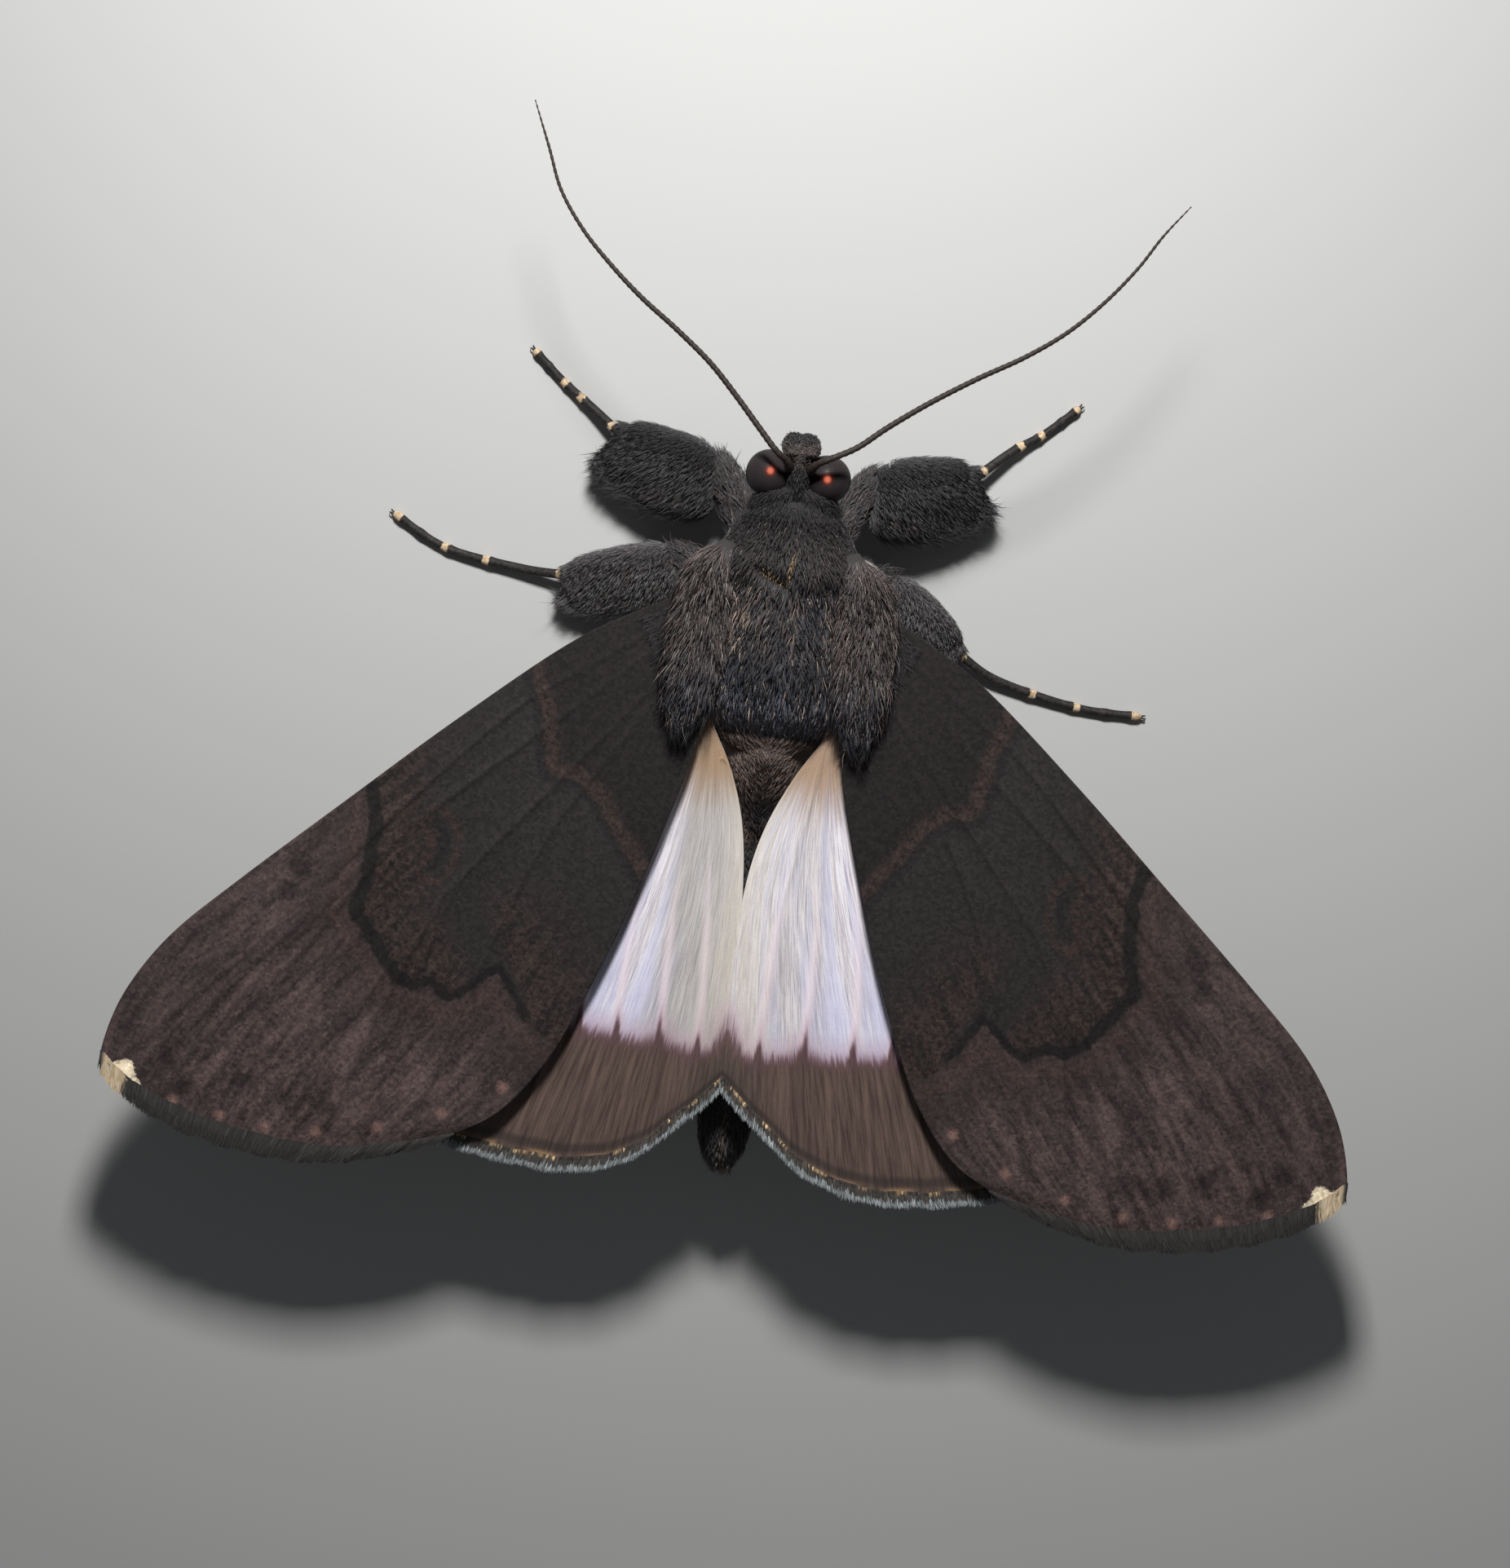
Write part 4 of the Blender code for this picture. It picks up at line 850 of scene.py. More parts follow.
def thorax_style(root, normal, share, angle, draw):
    """Long hair scales swept back from behind the collar, tan-streaked ahead and blue-black behind, the blue
    a painted sheen on black scales.
    """
    x, y, n = root[:, 0], root[:, 1], len(root)
    above = step(-0.1, 0.5, normal[:, 2])
    spread = (0.1 + 0.45 * step(1.5, 5.8, y)) * x / 3 + 0.3 * np.tanh(x) * step(1.6, 2.8, np.abs(x))
    strand = clumps((angle + 3.2) / 6.5 + 0.005 * draw.normal(0, 1, n), 260, draw)
    sway = (clumps((angle + 3.2) / 6.5, 150, draw) - 0.5) * 0.5
    lie = swept(spread + sway, 0.14, 0.06, draw)
    front = step(3.4, 4.4, y) * step(6.9, 6.2, y)
    band = front * step(0.1, 0.7, np.abs(x + 0.1)) * step(3.0, 2.2, np.abs(x))
    sides = step(1.2, 2.3, np.abs(x))
    tint = tinted(step(0.3, 1, strand) * 0.7 + 0.2 * draw.uniform(size=n), draw, BLACK, SHEEN_BLUE_BLACK, SLATE)
    earthy = (front * step(0.5, 0.8, strand) * 0.9)[:, None]
    tint = tint * (1 - earthy) + speckled(n, draw, SOOT, EARTH, ROSE) * earthy
    pale = 0.03 + (0.42 * band * step(0.45, 0.8, strand) + 0.1 * sides) * above + 0.05 * (1 - above)
    tint, fleck = frosted(tint, pale, draw, ROSE, TAN, (0.42, 0.34, 0.27))
    rear = step(2.2, 0.6, y)
    # Painted light: the front is darkened where it faces the light, the rear brightened against the shade it
    # lies in, with a painted highlight on its last rim; the band's lift is the tan band's own colour.
    tint = tint * (0.8 + 1.9 * step(3.3, 1.4, y) + 0.9 * step(0.9, 0.3, y) + 0.5 * band)[:, None]
    length = (1.3 - 0.5 * rear - 0.4 * (1 - above)) * uneven(0.16, n, draw)
    lift = 0.34 - 0.1 * (1 - above) - 0.2 * rear + 0.1 * fleck + draw.normal(0, 0.09, n)
    return {"lie": lie, "length": length, "width": 0.044 - 0.012 * fleck, "lift": lift,
            "sag": 0.3 + 0.3 * rear, "tint": tint}


def collar_style(root, normal, share, angle, draw):
    """The roll of dark scales behind the head, domed and ending behind in a V with a thin ochre rim."""
    x, y, n = root[:, 0], root[:, 1], len(root)
    front = step(7.4, 8.5, y)
    sides = step(0.55, -0.1, normal[:, 2])
    out = 0.1 * x + 0.35 * np.tanh(x) * sides
    lie = swept(out, 0.12, 0.08, draw)
    strand = clumps((angle + 3.2) / 6.5 + 0.006 * draw.normal(0, 1, n), 200, draw)
    # Darker towards the front: painted shade, matched to the shadow of the crease between head and collar.
    tint = tinted(strand * 0.6 + draw.normal(0, 0.1, n), draw, BLACK, SOOT, EARTH,
                  spread=0.15) * (0.76 - 0.42 * front)[:, None] * (1.04, 0.96, 0.94)
    reach = y - 6.05 - np.where(x < 0, 0.5, 3.0) * np.abs(x + 0.05)
    vee = (reach > 0) * (x > -1.3) * (x < 0.2) * (normal[:, 2] > 0)
    rim = (vee * (reach < np.where(x < -0.05, 0.42, 1.0)) * step(-1.3, -0.8, x))[:, None]
    tint = tint * (1 - rim) + speckled(n, draw, (0.12, 0.082, 0.05), (0.36, 0.25, 0.135)) * rim
    tint, fleck = frosted(tint, 0.02 + 0.16 * sides, draw, *FROST)
    length = (0.95 + 0.3 * sides - 0.3 * front) * uneven(0.15, n, draw)
    length = np.where(vee, np.minimum(length, np.maximum(reach + 0.1, 0.3)), length)
    lift = 0.45 + 0.2 * front + draw.normal(0, 0.1, n)
    return {"lie": lie, "length": length, "width": 0.046 - 0.012 * fleck, "lift": lift, "sag": 0.5,
            "tint": tint}


def head_style(root, normal, share, angle, draw):
    """Short velvet of the crown, and the grey-brown tuft of the face."""
    x, y, n = root[:, 0], root[:, 1], len(root)
    face = step(10.5, 10.85, y)
    out = (0.3 + 0.9 * face) * x + draw.normal(0, 0.14, n)
    lie = np.stack([out, -1 + 1.7 * face, 0.2 * normal[:, 2] + 0.6 * face], -1)
    length = (0.5 + 0.45 * step(9.9, 9.1, y) + 0.2 * face) * uneven(0.15, n, draw)
    tint = tinted(draw.uniform(size=n) * 0.5, draw, (0.014, 0.013, 0.014), (0.02, 0.018, 0.019), BLACK,
                  spread=0.12) * (1 - face[:, None])
    tint = tint + speckled(n, draw, SOOT, (0.075, 0.06, 0.055), (0.15, 0.12, 0.11)) * face[:, None]
    lift = 0.6 + 0.5 * face + draw.normal(0, 0.12, n)
    return {"lie": lie, "length": length, "width": 0.042, "lift": lift, "sag": 0.3, "tint": tint}


def tegula_style(side):
    def style(root, normal, share, angle, draw):
        """Scales of the shoulder cover, out from the thorax and back over the wing's root, well frosted."""
        n = len(root)
        outer = step(-0.6, 0.7, normal[:, 0] * side)
        strand = clumps((angle + 3.2) / 6.5 + 0.012 * draw.normal(0, 1, n), 80, draw)
        sway = (clumps((angle + 3.2) / 6.5 + share, 40, draw) - 0.5) * 0.3
        out = -0.12 + 0.42 * outer + sway
        lie = swept(side * out, 0.14, 0.06, draw)
        # The rear part is bluish and brighter: a painted blue sheen over black scales.
        blue = step(0.5, 0.8, share)[:, None]
        tint = tinted(strand * 0.8, draw, BLACK, SOOT, EARTH) * (1.75, 1.6, 1.5) * (1 - blue)
        tint = tint + 1.6 * tinted(strand * 0.7, draw, BLACK, SHEEN_BLUE_BLACK, SLATE) * blue
        tint, fleck = frosted(tint, 0.1 + 0.62 * step(0.45, 0.8, strand) * (0.35 + 0.65 * outer), draw, ROSE,
                              *FROST, (0.36, 0.31, 0.28))
        length = (1.25 + 0.45 * step(0.2, 0.85, share) + 0.15 * fleck) * uneven(0.18, n, draw)
        lift = 0.3 + 0.1 * fleck + draw.normal(0, 0.1, n)
        return {"lie": lie, "length": length, "width": 0.05 - 0.02 * fleck, "lift": lift, "sag": 0.3,
                "tint": tint}
    return style


def abdomen_style(root, normal, share, angle, draw):
    """Brown hair laid back and in to a V, in rings behind, pale below, with the brush at the end."""
    x, y, n = root[:, 0], root[:, 1], len(root)
    above, end = step(-0.2, 0.4, normal[:, 2]), step(-14.0, -17.0, y)
    parting = np.interp(y, [-9.5, -6.2, -3.7, -1.6, 0.1], [0.1, 0.2, 0.55, 1.2, 2.1])
    fold = step(-6.5, -4.0, y) * above * step(0.15, -0.15, np.abs(x) - parting)
    out = -0.55 * np.tanh(x / 0.3) * fold + 0.35 * np.tanh(x) * end
    lie = swept(out, 0.1, 0.05, draw)
    # The fold's hair is brightened near the waist: painted light against the thorax's shadow over it.
    dorsal = tinted(0.25 + 0.5 * draw.uniform(size=n), draw, SOOT, (0.075, 0.054, 0.046),
                    (0.115, 0.086, 0.072)) * (0.8 + 1.3 * step(-2.4, -1.2, y) * fold)[:, None]
    ventral = speckled(n, draw, (0.08, 0.062, 0.05), (0.17, 0.13, 0.105))
    tint = dorsal * above[:, None] + ventral * (1 - above[:, None])
    # dark holds the body's own dark rings and, from y = -13 back, painted shade of the hindwings over the
    # end.
    dark = ((step(-2.0, -2.5, y) * step(-3.4, -2.9, y) + step(-4.3, -4.7, y) * step(-6.5, -5.5, y))
            * step(1.0, 0.5, np.abs(x)))
    dark = np.maximum(dark, step(-13.0, -15.5, y))[:, None] * above[:, None]
    tint = tint * (1 - dark * 0.8) + speckled(n, draw, BLACK, SOOT) * dark * 0.8
    line = (end * step(0.14, 0.04, np.abs(x)))[:, None] * above[:, None]
    tint = tint * (1 - line) + speckled(n, draw, EARTH, TAN) * line
    length = ((0.75 + 0.1 * fold - 0.3 * step(-7, -13, y) + 0.6 * step(-15.5, -17.6, y))
              * uneven(0.15, n, draw))
    lift = 0.04 + 0.35 * fold + 0.3 * end + draw.normal(0, 0.05, n)
    return {"lie": lie, "length": length, "width": 0.065 - 0.025 * fold, "lift": lift, "sag": 0.15,
            "tint": tint}


def crest_style(root, normal, share, angle, draw):
    """Dark tufts that stand up along the middle of the first abdominal rings."""
    y, n = root[:, 1], len(root)
    lie = swept(0.3 * root[:, 0], 0.15, 0.05, draw)
    pink = (step(-3.3, -3.6, y) * step(-4.3, -4.0, y))[:, None]
    tint = speckled(n, draw, BLACK, SOOT) * (1 - pink) + speckled(n, draw, EARTH, ROSE, TAN) * pink
    return {"lie": lie, "length": 0.6 * uneven(0.15, n, draw), "width": 0.045,
            "lift": 0.5 + draw.normal(0, 0.1, n), "sag": 0.5, "tint": tint}


def brush_style(leg):
    def style(root, normal, share, angle, draw):
        """Velvet brush of the tibia: short ahead, long and standing out behind, and turned to the foot."""
        n, mid = len(root), 0.0 if leg.name.startswith("fore") else 1.0
        behind = -normal @ leg.ahead
        full = (leg.brush * step(-0.45, 0.7, behind)
                * np.sin(math.pi * np.clip(0.16 + 0.66 * share, 0, 1)) ** 0.6)
        ahead = leg.brush * step(-0.2, -0.9, behind)
        lie = (leg.along * (0.35 + 0.6 * share[:, None]) - leg.ahead * leg.brush * 0.9
               + draw.normal(0, 0.14, (n, 3)))
        lie = lie * [1, 1, 0.35]
        length = (0.62 + 1.15 * full + 0.2 * ahead) * uneven(0.1, n, draw)
        lift = 0.5 + 1.1 * step(0.2, 1.0, behind) * leg.brush + 1.1 * ahead + draw.normal(0, 0.12, n)
        # fold marks the forelegs' fold on its upper side, where pale hairs give a painted highlight.
        fold = (step(0.3, 0.06, np.abs(share - 0.3)) * step(0.3, 0.05, np.abs(behind - 0.3))
                * (normal[:, 2] > 0) * (1 - mid))
        strand = clumps(share * 0.5 + angle * 0.07 + 0.25 + 0.005 * draw.normal(0, 1, n), 160, draw)
        tint = speckled(n, draw, (0.05, 0.049, 0.053), (0.062, 0.06, 0.063), spread=0.08) * (1.22 + 1.4 * mid)
        pale = (0.015 + mid * (0.22 + 0.5 * step(0.5, 0.85, strand) * step(0.0, 0.5, normal[:, 2]))
                + 0.5 * fold * (strand > 0.4))
        tint, fleck = frosted(tint, pale, draw, EARTH, *FROST)
        return {"lie": lie, "length": length, "width": 0.042 - 0.01 * fleck, "lift": lift,
                "sag": 0.15 + 0.2 * full, "tint": tint}
    return style


def femur_style(leg):
    def style(root, normal, share, angle, draw):
        """Shaggy hair along the femur and over its root, black with many grey and rosy hairs among it."""
        n, shaggy = len(root), step(0, 0.5, leg.brush)
        way = unit(leg.femur.path[-1] - leg.femur.path[0])
        tint, fleck = frosted(tinted(draw.uniform(size=n) ** 2, draw, BLACK, SOOT, EARTH), 0.3, draw, EARTH,
                              *FROST)
        sway = draw.normal(0, 0.12 + 0.1 * shaggy, (n, 3))
        length = (0.7 + 0.2 * shaggy) * uneven(0.2, n, draw)
        return {"lie": way + sway, "length": length, "width": 0.055 - 0.018 * fleck,
                "lift": 0.35 + 0.2 * shaggy + draw.normal(0, 0.1, n), "sag": 0.4, "tint": tint}
    return style


def palp_style(root, normal, share, angle, draw):
    """Close scales up the palp that meet the other palp's, grey-brown with a black end."""
    n = len(root)
    lie = np.stack([draw.normal(0, 0.16, n), draw.normal(0, 0.16, n), np.ones(n)], -1)
    tint = speckled(n, draw, SOOT, (0.075, 0.06, 0.055), (0.13, 0.105, 0.095))
    dark = step(11.4, 11.65, root[:, 1])[:, None]
    tint = tint * (1 - dark) + speckled(n, draw, (0.014, 0.013, 0.014), BLACK) * dark
    return {"lie": lie, "length": 0.45 * uneven(0.15, n, draw), "width": 0.045,
            "lift": 0.6 + draw.normal(0, 0.1, n), "sag": 0.4, "tint": tint}


def lay(coat, wing, s, t, out, length, width, lift, tint, above=0.06):
    """Hair that lies on a wing from shares of its plan, back along the body and outwards by a share."""
    draw, n = coat.draw, len(s)
    root = wing.place(wing.plan(s, t), above)
    lie = np.stack([wing.side * out, -np.ones(n), np.zeros(n)], -1) + draw.normal(0, 0.05, (n, 3))
    normal = np.tile((0.0, 0.0, 1.0), (n, 1))
    coat.grow(root, normal, lie, np.stack([t, s], -1), length * uneven(0.15, n, draw), width, lift, 0.06,
              tint)


def wing_root_coats(name, side):
    """Hair over the roots of the wings: black on the forewing, golden to silky white on the hindwing."""
    coat = Coat(f"coat_fore_root_{name}", "forewing", 61 + side)
    draw = coat.draw
    u, v = scatter(WING_ROOT_TUFTS, 1.0, draw)
    s, t = 0.02 + 0.07 * v, 0.05 + 0.95 * u
    tint = tinted(draw.uniform(size=len(s)) ** 2, draw, (0.013, 0.012, 0.013), (0.024, 0.022, 0.023),
                  spread=0.12)
    lay(coat, FOREWINGS[name], s, t, 1.2 - 0.9 * t, 0.7, 0.045, 0.05, tint, above=0.06)
    coat.done()

    wing = HINDWINGS[name]
    coat = Coat(f"coat_hind_root_{name}", "hindwing", 71 + side, SILK_FINISH)
    draw = coat.draw
    u, v = scatter(WING_ROOT_TUFTS, 1.0, draw)
    s, t = 0.02 + 0.05 * v, 0.2 + 0.8 * u
    y = wing.plan(s, t)[:, 1]
    fade = np.clip((0.3 - y) / 3.2 + draw.normal(0, 0.1, len(s)), 0, 1)
    tint = tinted(fade, draw, (0.17, 0.09, 0.045), (0.38, 0.225, 0.11), (0.62, 0.48, 0.33),
                  (0.80, 0.76, 0.74), spread=0.08)
    lay(coat, wing, s, t, 0.25 - 0.3 * t, 0.9 - 0.35 * v, 0.04, 0.04, tint, above=0.03)
    coat.done()


# Coats of the body: name, slot, seed, and rows of a count of tufts, where they start and end along the body,
# how far round they reach, their style, and rows to columns of their places
BODY_COATS = [
    ("thorax", "black_coat", 1, [(15500, 0.1, 6.35, math.pi, thorax_style, 1.0)]),
    ("collar", "brown_coat", 2, [(9000, 6.2, 9.1, math.pi, collar_style, 0.45)]),
    ("head", "black_coat", 3, [(6000, 8.85, 11.05, math.pi, head_style, 1.0)]),
    ("abdomen", "brown_coat", 4, [
        (11500, -18.15, 0.2, math.pi, abdomen_style, 3.0),
        (4500, -6.0, 0.3, 1.2, abdomen_style, 1.0),
        (700, -5.2, -2.3, 0.28, crest_style, 1.0),
    ]),
]
TEGULA_TUFTS, PALP_TUFTS, FORE_TIBIA_TUFTS, MID_TIBIA_TUFTS, HIND_TIBIA_TUFTS = 6500, 1500, 9400, 7600, 2400
SHAGGY_FEMUR_TUFTS, PLAIN_FEMUR_TUFTS, WING_ROOT_TUFTS = 2900, 1500, 1500


def make_coats():
    """All the coats, each a piece of its own under 200,000 triangles."""
    whole = (-math.pi, math.pi)
    for name, slot, seed, rows in BODY_COATS:
        coat = Coat(f"coat_{name}", slot, seed)
        for count, start, end, reach, style, ratio in rows:
            coat.on_tube(BODY, count, (BODY.share(start), BODY.share(end)), (-reach, reach), style,
                         ratio=ratio)
        coat.done()
    for name, side in SIDES.items():
        coat = Coat(f"coat_tegula_{name}", "black_coat", 11 + side)
        coat.on_tube(TEGULAE[name], TEGULA_TUFTS, (0.02, 0.98), (-2.1, 2.1), tegula_style(side), ratio=2.0)
        coat.done()
        coat = Coat(f"coat_palp_{name}", "brown_coat", 21 + side)
        coat.on_tube(PALPS[name], PALP_TUFTS, (0.03, 0.99), whole, palp_style, ratio=2.0)
        coat.done()
        wing_root_coats(name, side)
    for k, leg in enumerate(LIMBS):
        coat = Coat(f"coat_{leg.name}", "black_coat", 50 + k)
        many = {"fore": FORE_TIBIA_TUFTS, "midl": MID_TIBIA_TUFTS, "hind": HIND_TIBIA_TUFTS}[leg.name[:4]]
        coat.on_tube(leg.tibia, many, (0.02, 0.97), whole, brush_style(leg), strip=(0, 2))
        femur = SHAGGY_FEMUR_TUFTS if leg.brush else PLAIN_FEMUR_TUFTS
        coat.on_tube(leg.femur, femur, (0.03, 0.99), whole, femur_style(leg), strip=(1, 2))
        coat.done()


# Eyes, feelers and feet

EYE_RADIUS, EYE_SIDE, EYE_AHEAD, EYE_HIGH = 0.94, 1.12, 10.2, 7.15
# Centres of the painted eyeshine, the light's reflection from inside each eye.
EYESHINE_SPOT = {"left": (-1.12, 10.34, 8.08), "right": (1.11, 10.24, 8.09)}


def make_eyes():
    """Bulging balls, each point with its distance from where the painted eyeshine sits."""
    for name, side in SIDES.items():
        rings, columns = 60, 90
        u, v = np.meshgrid(np.linspace(0.001, math.pi - 0.001, rings),
                           np.arange(columns) * 2 * math.pi / columns, indexing="ij")
        ball = np.stack([np.sin(u) * np.cos(v), np.sin(u) * np.sin(v), -np.cos(u)], -1).reshape(-1, 3)
        points = ball * EYE_RADIUS + (side * EYE_SIDE, EYE_AHEAD, EYE_HIGH)
        glow = np.linalg.norm(points - np.array(EYESHINE_SPOT[name]), axis=1)
        add_piece(f"eyeball_{name}", points, grid_faces(rings, columns, closed=True), EYE_FINISH,
                  [f"eye_{name}"],
                  numbers={"glow": glow})


ANTENNAE = {
    "left": [(-0.35, 10.4, 8.0), (-0.55, 10.8, 8.6), (-1.0, 11.15, 8.9), (-1.7, 11.9, 8.8), (-2.8, 13.1, 8.6),
             (-3.9, 14.2, 8.5),
             (-5.3, 15.3, 8.4), (-6.7, 16.3, 8.3), (-8.0, 17.4, 8.2), (-9.2, 18.6, 8.1), (-10.2, 20.0, 8.0),
             (-10.8, 21.5, 8.0), (-11.5, 23.2, 8.0)],
    "right": [(0.35, 10.4, 8.0), (0.6, 10.75, 8.6), (1.1, 11.05, 8.9), (2.1, 11.6, 8.8), (3.2, 12.5, 8.6),
              (4.7, 13.6, 8.5),
              (6.4, 14.7, 8.4), (8.1, 15.7, 8.3), (9.6, 16.8, 8.2), (10.9, 18.1, 8.1), (12.0, 19.5, 8.0),
              (12.8, 20.8, 8.0), (13.7, 22.0, 8.0)],
}


FEELER_JOINTS = 72


def make_antennae():
    """Threads of about seventy short joints on a thicker first joint, thinning to a fine end."""
    for name, path in ANTENNAE.items():
        share = np.linspace(0, 1, 60)
        radius = np.interp(share, [0, 0.02, 0.05, 0.1, 0.5, 0.9, 1],
                           [0.17, 0.2, 0.13, 0.12, 0.1, 0.055, 0.02])
        tube = Tube(np.column_stack([spline(path, 60), radius, radius]), count=400)
        ripple = lambda share, angle: 0.008 * np.cos(2 * math.pi * share * FEELER_JOINTS)
        points, faces, share, _ = tube.skin(8 * FEELER_JOINTS, 12, ripple)
        add_piece(f"feeler_{name}", points, faces, ANTENNA_FINISH, [f"antenna_{name}"],
                  numbers={"joint": (share * FEELER_JOINTS) % 1})


RINGS = {"foreleg": (0.07, 0.43, 0.62), "midleg": (0.03, 0.44, 0.67), "hindleg": (0.04, 0.45, 0.68)}


def make_feet():
    """Five joints to a foot, with pale rings between and two hooked claws."""
    for leg in LIMBS:
        kind = leg.name.split("_")[0]
        joints = np.array([0.0, RINGS[kind][0], RINGS[kind][1], RINGS[kind][2], 0.84, 0.97])
        share = np.linspace(0, 1, 60)
        radius = 0.2 - 0.045 * share
        swell = np.max([np.exp(-(((share - j + 0.02) / 0.025) ** 2)) for j in joints[1:]], axis=0)
        radius = (radius + 0.03 * swell) * np.where(share > 0.985, 0.6, 1)
        tube = Tube(np.column_stack([spline(leg.foot, 60), radius, radius]), count=240)
        points, faces, share, _ = tube.skin(200, 14)
        points[:, 2] = np.maximum(points[:, 2], FOOT_LOWEST)
        reach = 0.17 / np.linalg.norm(np.diff(leg.foot, axis=0), axis=1).sum()
        ring = np.max([strong * np.exp(-(((share - j) / reach) ** 2)) for j,
                       strong in zip(joints[1:4], (0.75, 1, 1))], axis=0)
        ring = np.maximum(ring, step(0.94, 0.955, share))
        parts = [(points, faces, ring)]
        end, way = leg.foot[-1], unit(leg.foot[-1] - leg.foot[-8])
        across = np.cross(way, (0, 0, 1))
        for hook in (-1, 1):
            path = [end - 0.1 * way, end + 0.08 * way + 0.05 * hook * across + (0, 0, 0.04),
                    end + 0.17 * way + 0.07 * hook * across + (0, 0, -0.03),
                    end + 0.18 * way + 0.07 * hook * across + (0, 0, -0.14)]
            claw = Tube(np.column_stack([path, [0.04, 0.035, 0.022, 0.01], [0.04, 0.035, 0.022, 0.01]]),
                        count=20)
            claw_points, claw_faces, claw_share, _ = claw.skin(10, 8)
            claw_points[:, 2] = np.maximum(claw_points[:, 2], FOOT_LOWEST)
            parts.append((claw_points, claw_faces, np.full(len(claw_share), 0.35)))
        points, faces, ring = join(parts)
        add_piece(f"foot_{leg.name}", points, faces, FOOT_FINISH, [f"{leg.name}_tarsus"],
                  numbers={"ring": ring})


# Finishes


def forewing_finish():
    """Near black at the base, dark in the middle and purplish brown outside, with red-edged crosslines."""
    f = Finish("forewing_scales", specular_ior_level=0.14)
    inner, outer, margin, back = (f.number(k) for k in ("inner_line", "outer_line", "margin", "back"))
    wobble = f.noise(f.where(2.2), 3.0) - 0.5
    fine = f.noise(f.where(9.0), 2.0) - 0.5
    inner = inner + wobble * 0.35 + fine * 0.12
    outer = outer + wobble * 0.4 + fine * 0.15
    streak = f.noise(f.where(1.0, (1.5, 0.32, 1), "UV"), 4.0, 0.65)
    blotch = f.noise(f.where(0.55), 3.0, 0.6)
    scale = f.cells(f.where(8.0, (1, 1, 1)))
    grain = f.noise(f.where(5.0), 3.0, 0.7)

    base = f.mix(grain, (0.0125, 0.0105, 0.011), (0.0195, 0.0165, 0.017))
    olive = f.mix((streak * 0.5 + grain * 0.5).rise(0.4, 0.62), (0.0155, 0.0125, 0.0125),
                  (0.056, 0.038, 0.034))
    near_outer = (outer * -1).fall(0.3, 4.6) * f.number("shade").rise(0.3, 1.6)
    middle = f.mix(near_outer * 0.85, (0.023, 0.020, 0.0205), olive)
    brown = f.mix((streak * 0.5 + grain * 0.3 + blotch * 0.2).rise(0.38, 0.62), (0.032, 0.0235, 0.0245),
                  (0.108, 0.075, 0.073))
    brown = f.mix(outer.fall(0.8, 3.2) * 0.75, brown,
                  f.mix(streak, (0.014, 0.0115, 0.012), (0.05, 0.035, 0.034)))
    brown = f.mix(back.fall(0.06, 0.36) * 0.35, brown, (0.034, 0.026, 0.026))
    tail = back.rise(0.72, 0.98)
    brown = f.mix(tail * 0.35, brown, (0.034, 0.027, 0.026))
    colour = f.mix(inner.rise(-0.1, 0.1), base, middle)
    colour = f.mix(outer.rise(-0.05, 0.12), colour, brown)

    red = (inner + 0.45).size().fall(0.08, 0.55) * grain.rise(0.3, 0.65)
    colour = f.mix(red * 0.7, colour, (0.052, 0.034, 0.030))
    red = (outer - 0.62).size().fall(0.05, 0.45) * grain.rise(0.3, 0.6)
    colour = f.mix(red * 0.3, colour, (0.085, 0.050, 0.044))
    black_inner = inner.size().fall(0.1, 0.24)
    colour = f.mix(black_inner * 0.8, colour, (0.016, 0.0145, 0.015))
    wide = 0.27 - back.rise(0.3, 0.75) * 0.1
    black_outer = 1 - ((outer + wide * 0.6).size() - wide).rise(-0.08, 0.1)
    colour = f.mix(black_outer * back.fall(0.83, 0.93) * 0.9, colour, (0.0125, 0.011, 0.0115))
    kidney = (f.number("kidney") + fine * 0.3)
    colour = f.mix(kidney.fall(0.12, 0.34) * 0.6, colour, (0.014, 0.0125, 0.013))
    colour = f.mix((kidney - 0.5).size().fall(0.05, 0.3) * grain.rise(0.4, 0.65) * 0.5, colour,
                   (0.06, 0.03, 0.024))
    patch = (f.number("patches") + wobble * 0.9).fall(0.15, 0.75)
    colour = f.mix(patch * 0.6, colour, (0.014, 0.0115, 0.012))
    rim = (margin + wobble * 0.3).fall(0.0, 1.0) * outer.rise(0.2, 1.0)
    colour = f.mix(rim * 0.4, colour, (0.016, 0.014, 0.0145))
    dots = (f.number("dots") + fine * 0.4 + (scale - 0.5) * 0.12).fall(0.0, 0.36)
    colour = f.mix(dots * 0.8, colour, (0.25, 0.145, 0.12))
    spot = (f.number("tip_spot") + fine * 0.3 + wobble * 0.12).fall(0.3, 0.42)
    colour = f.mix(spot, colour, f.mix(grain, (0.94, 0.72, 0.44), (1.0, 0.93, 0.76)))
    vein = f.number("vein").fall(0.03, 0.22) * outer.rise(0.5, 2.0)
    colour = f.mix(vein * 0.25, colour, (0.02, 0.015, 0.016))
    under = f.mix(grain, (0.05, 0.038, 0.032), (0.085, 0.068, 0.058))
    colour = f.mix(f.number("under"), colour, under)
    bright = 0.84 + scale * 0.64
    colour = f.mix(1.0, colour, f.node("CombineColor", {}, {0: bright, 1: bright, 2: bright}), "MULTIPLY")
    f.bump(scale * 0.6 + grain * 0.6, 0.03, 0.8)
    return f.paint(base_color=colour, roughness=0.55 + grain * 0.25)


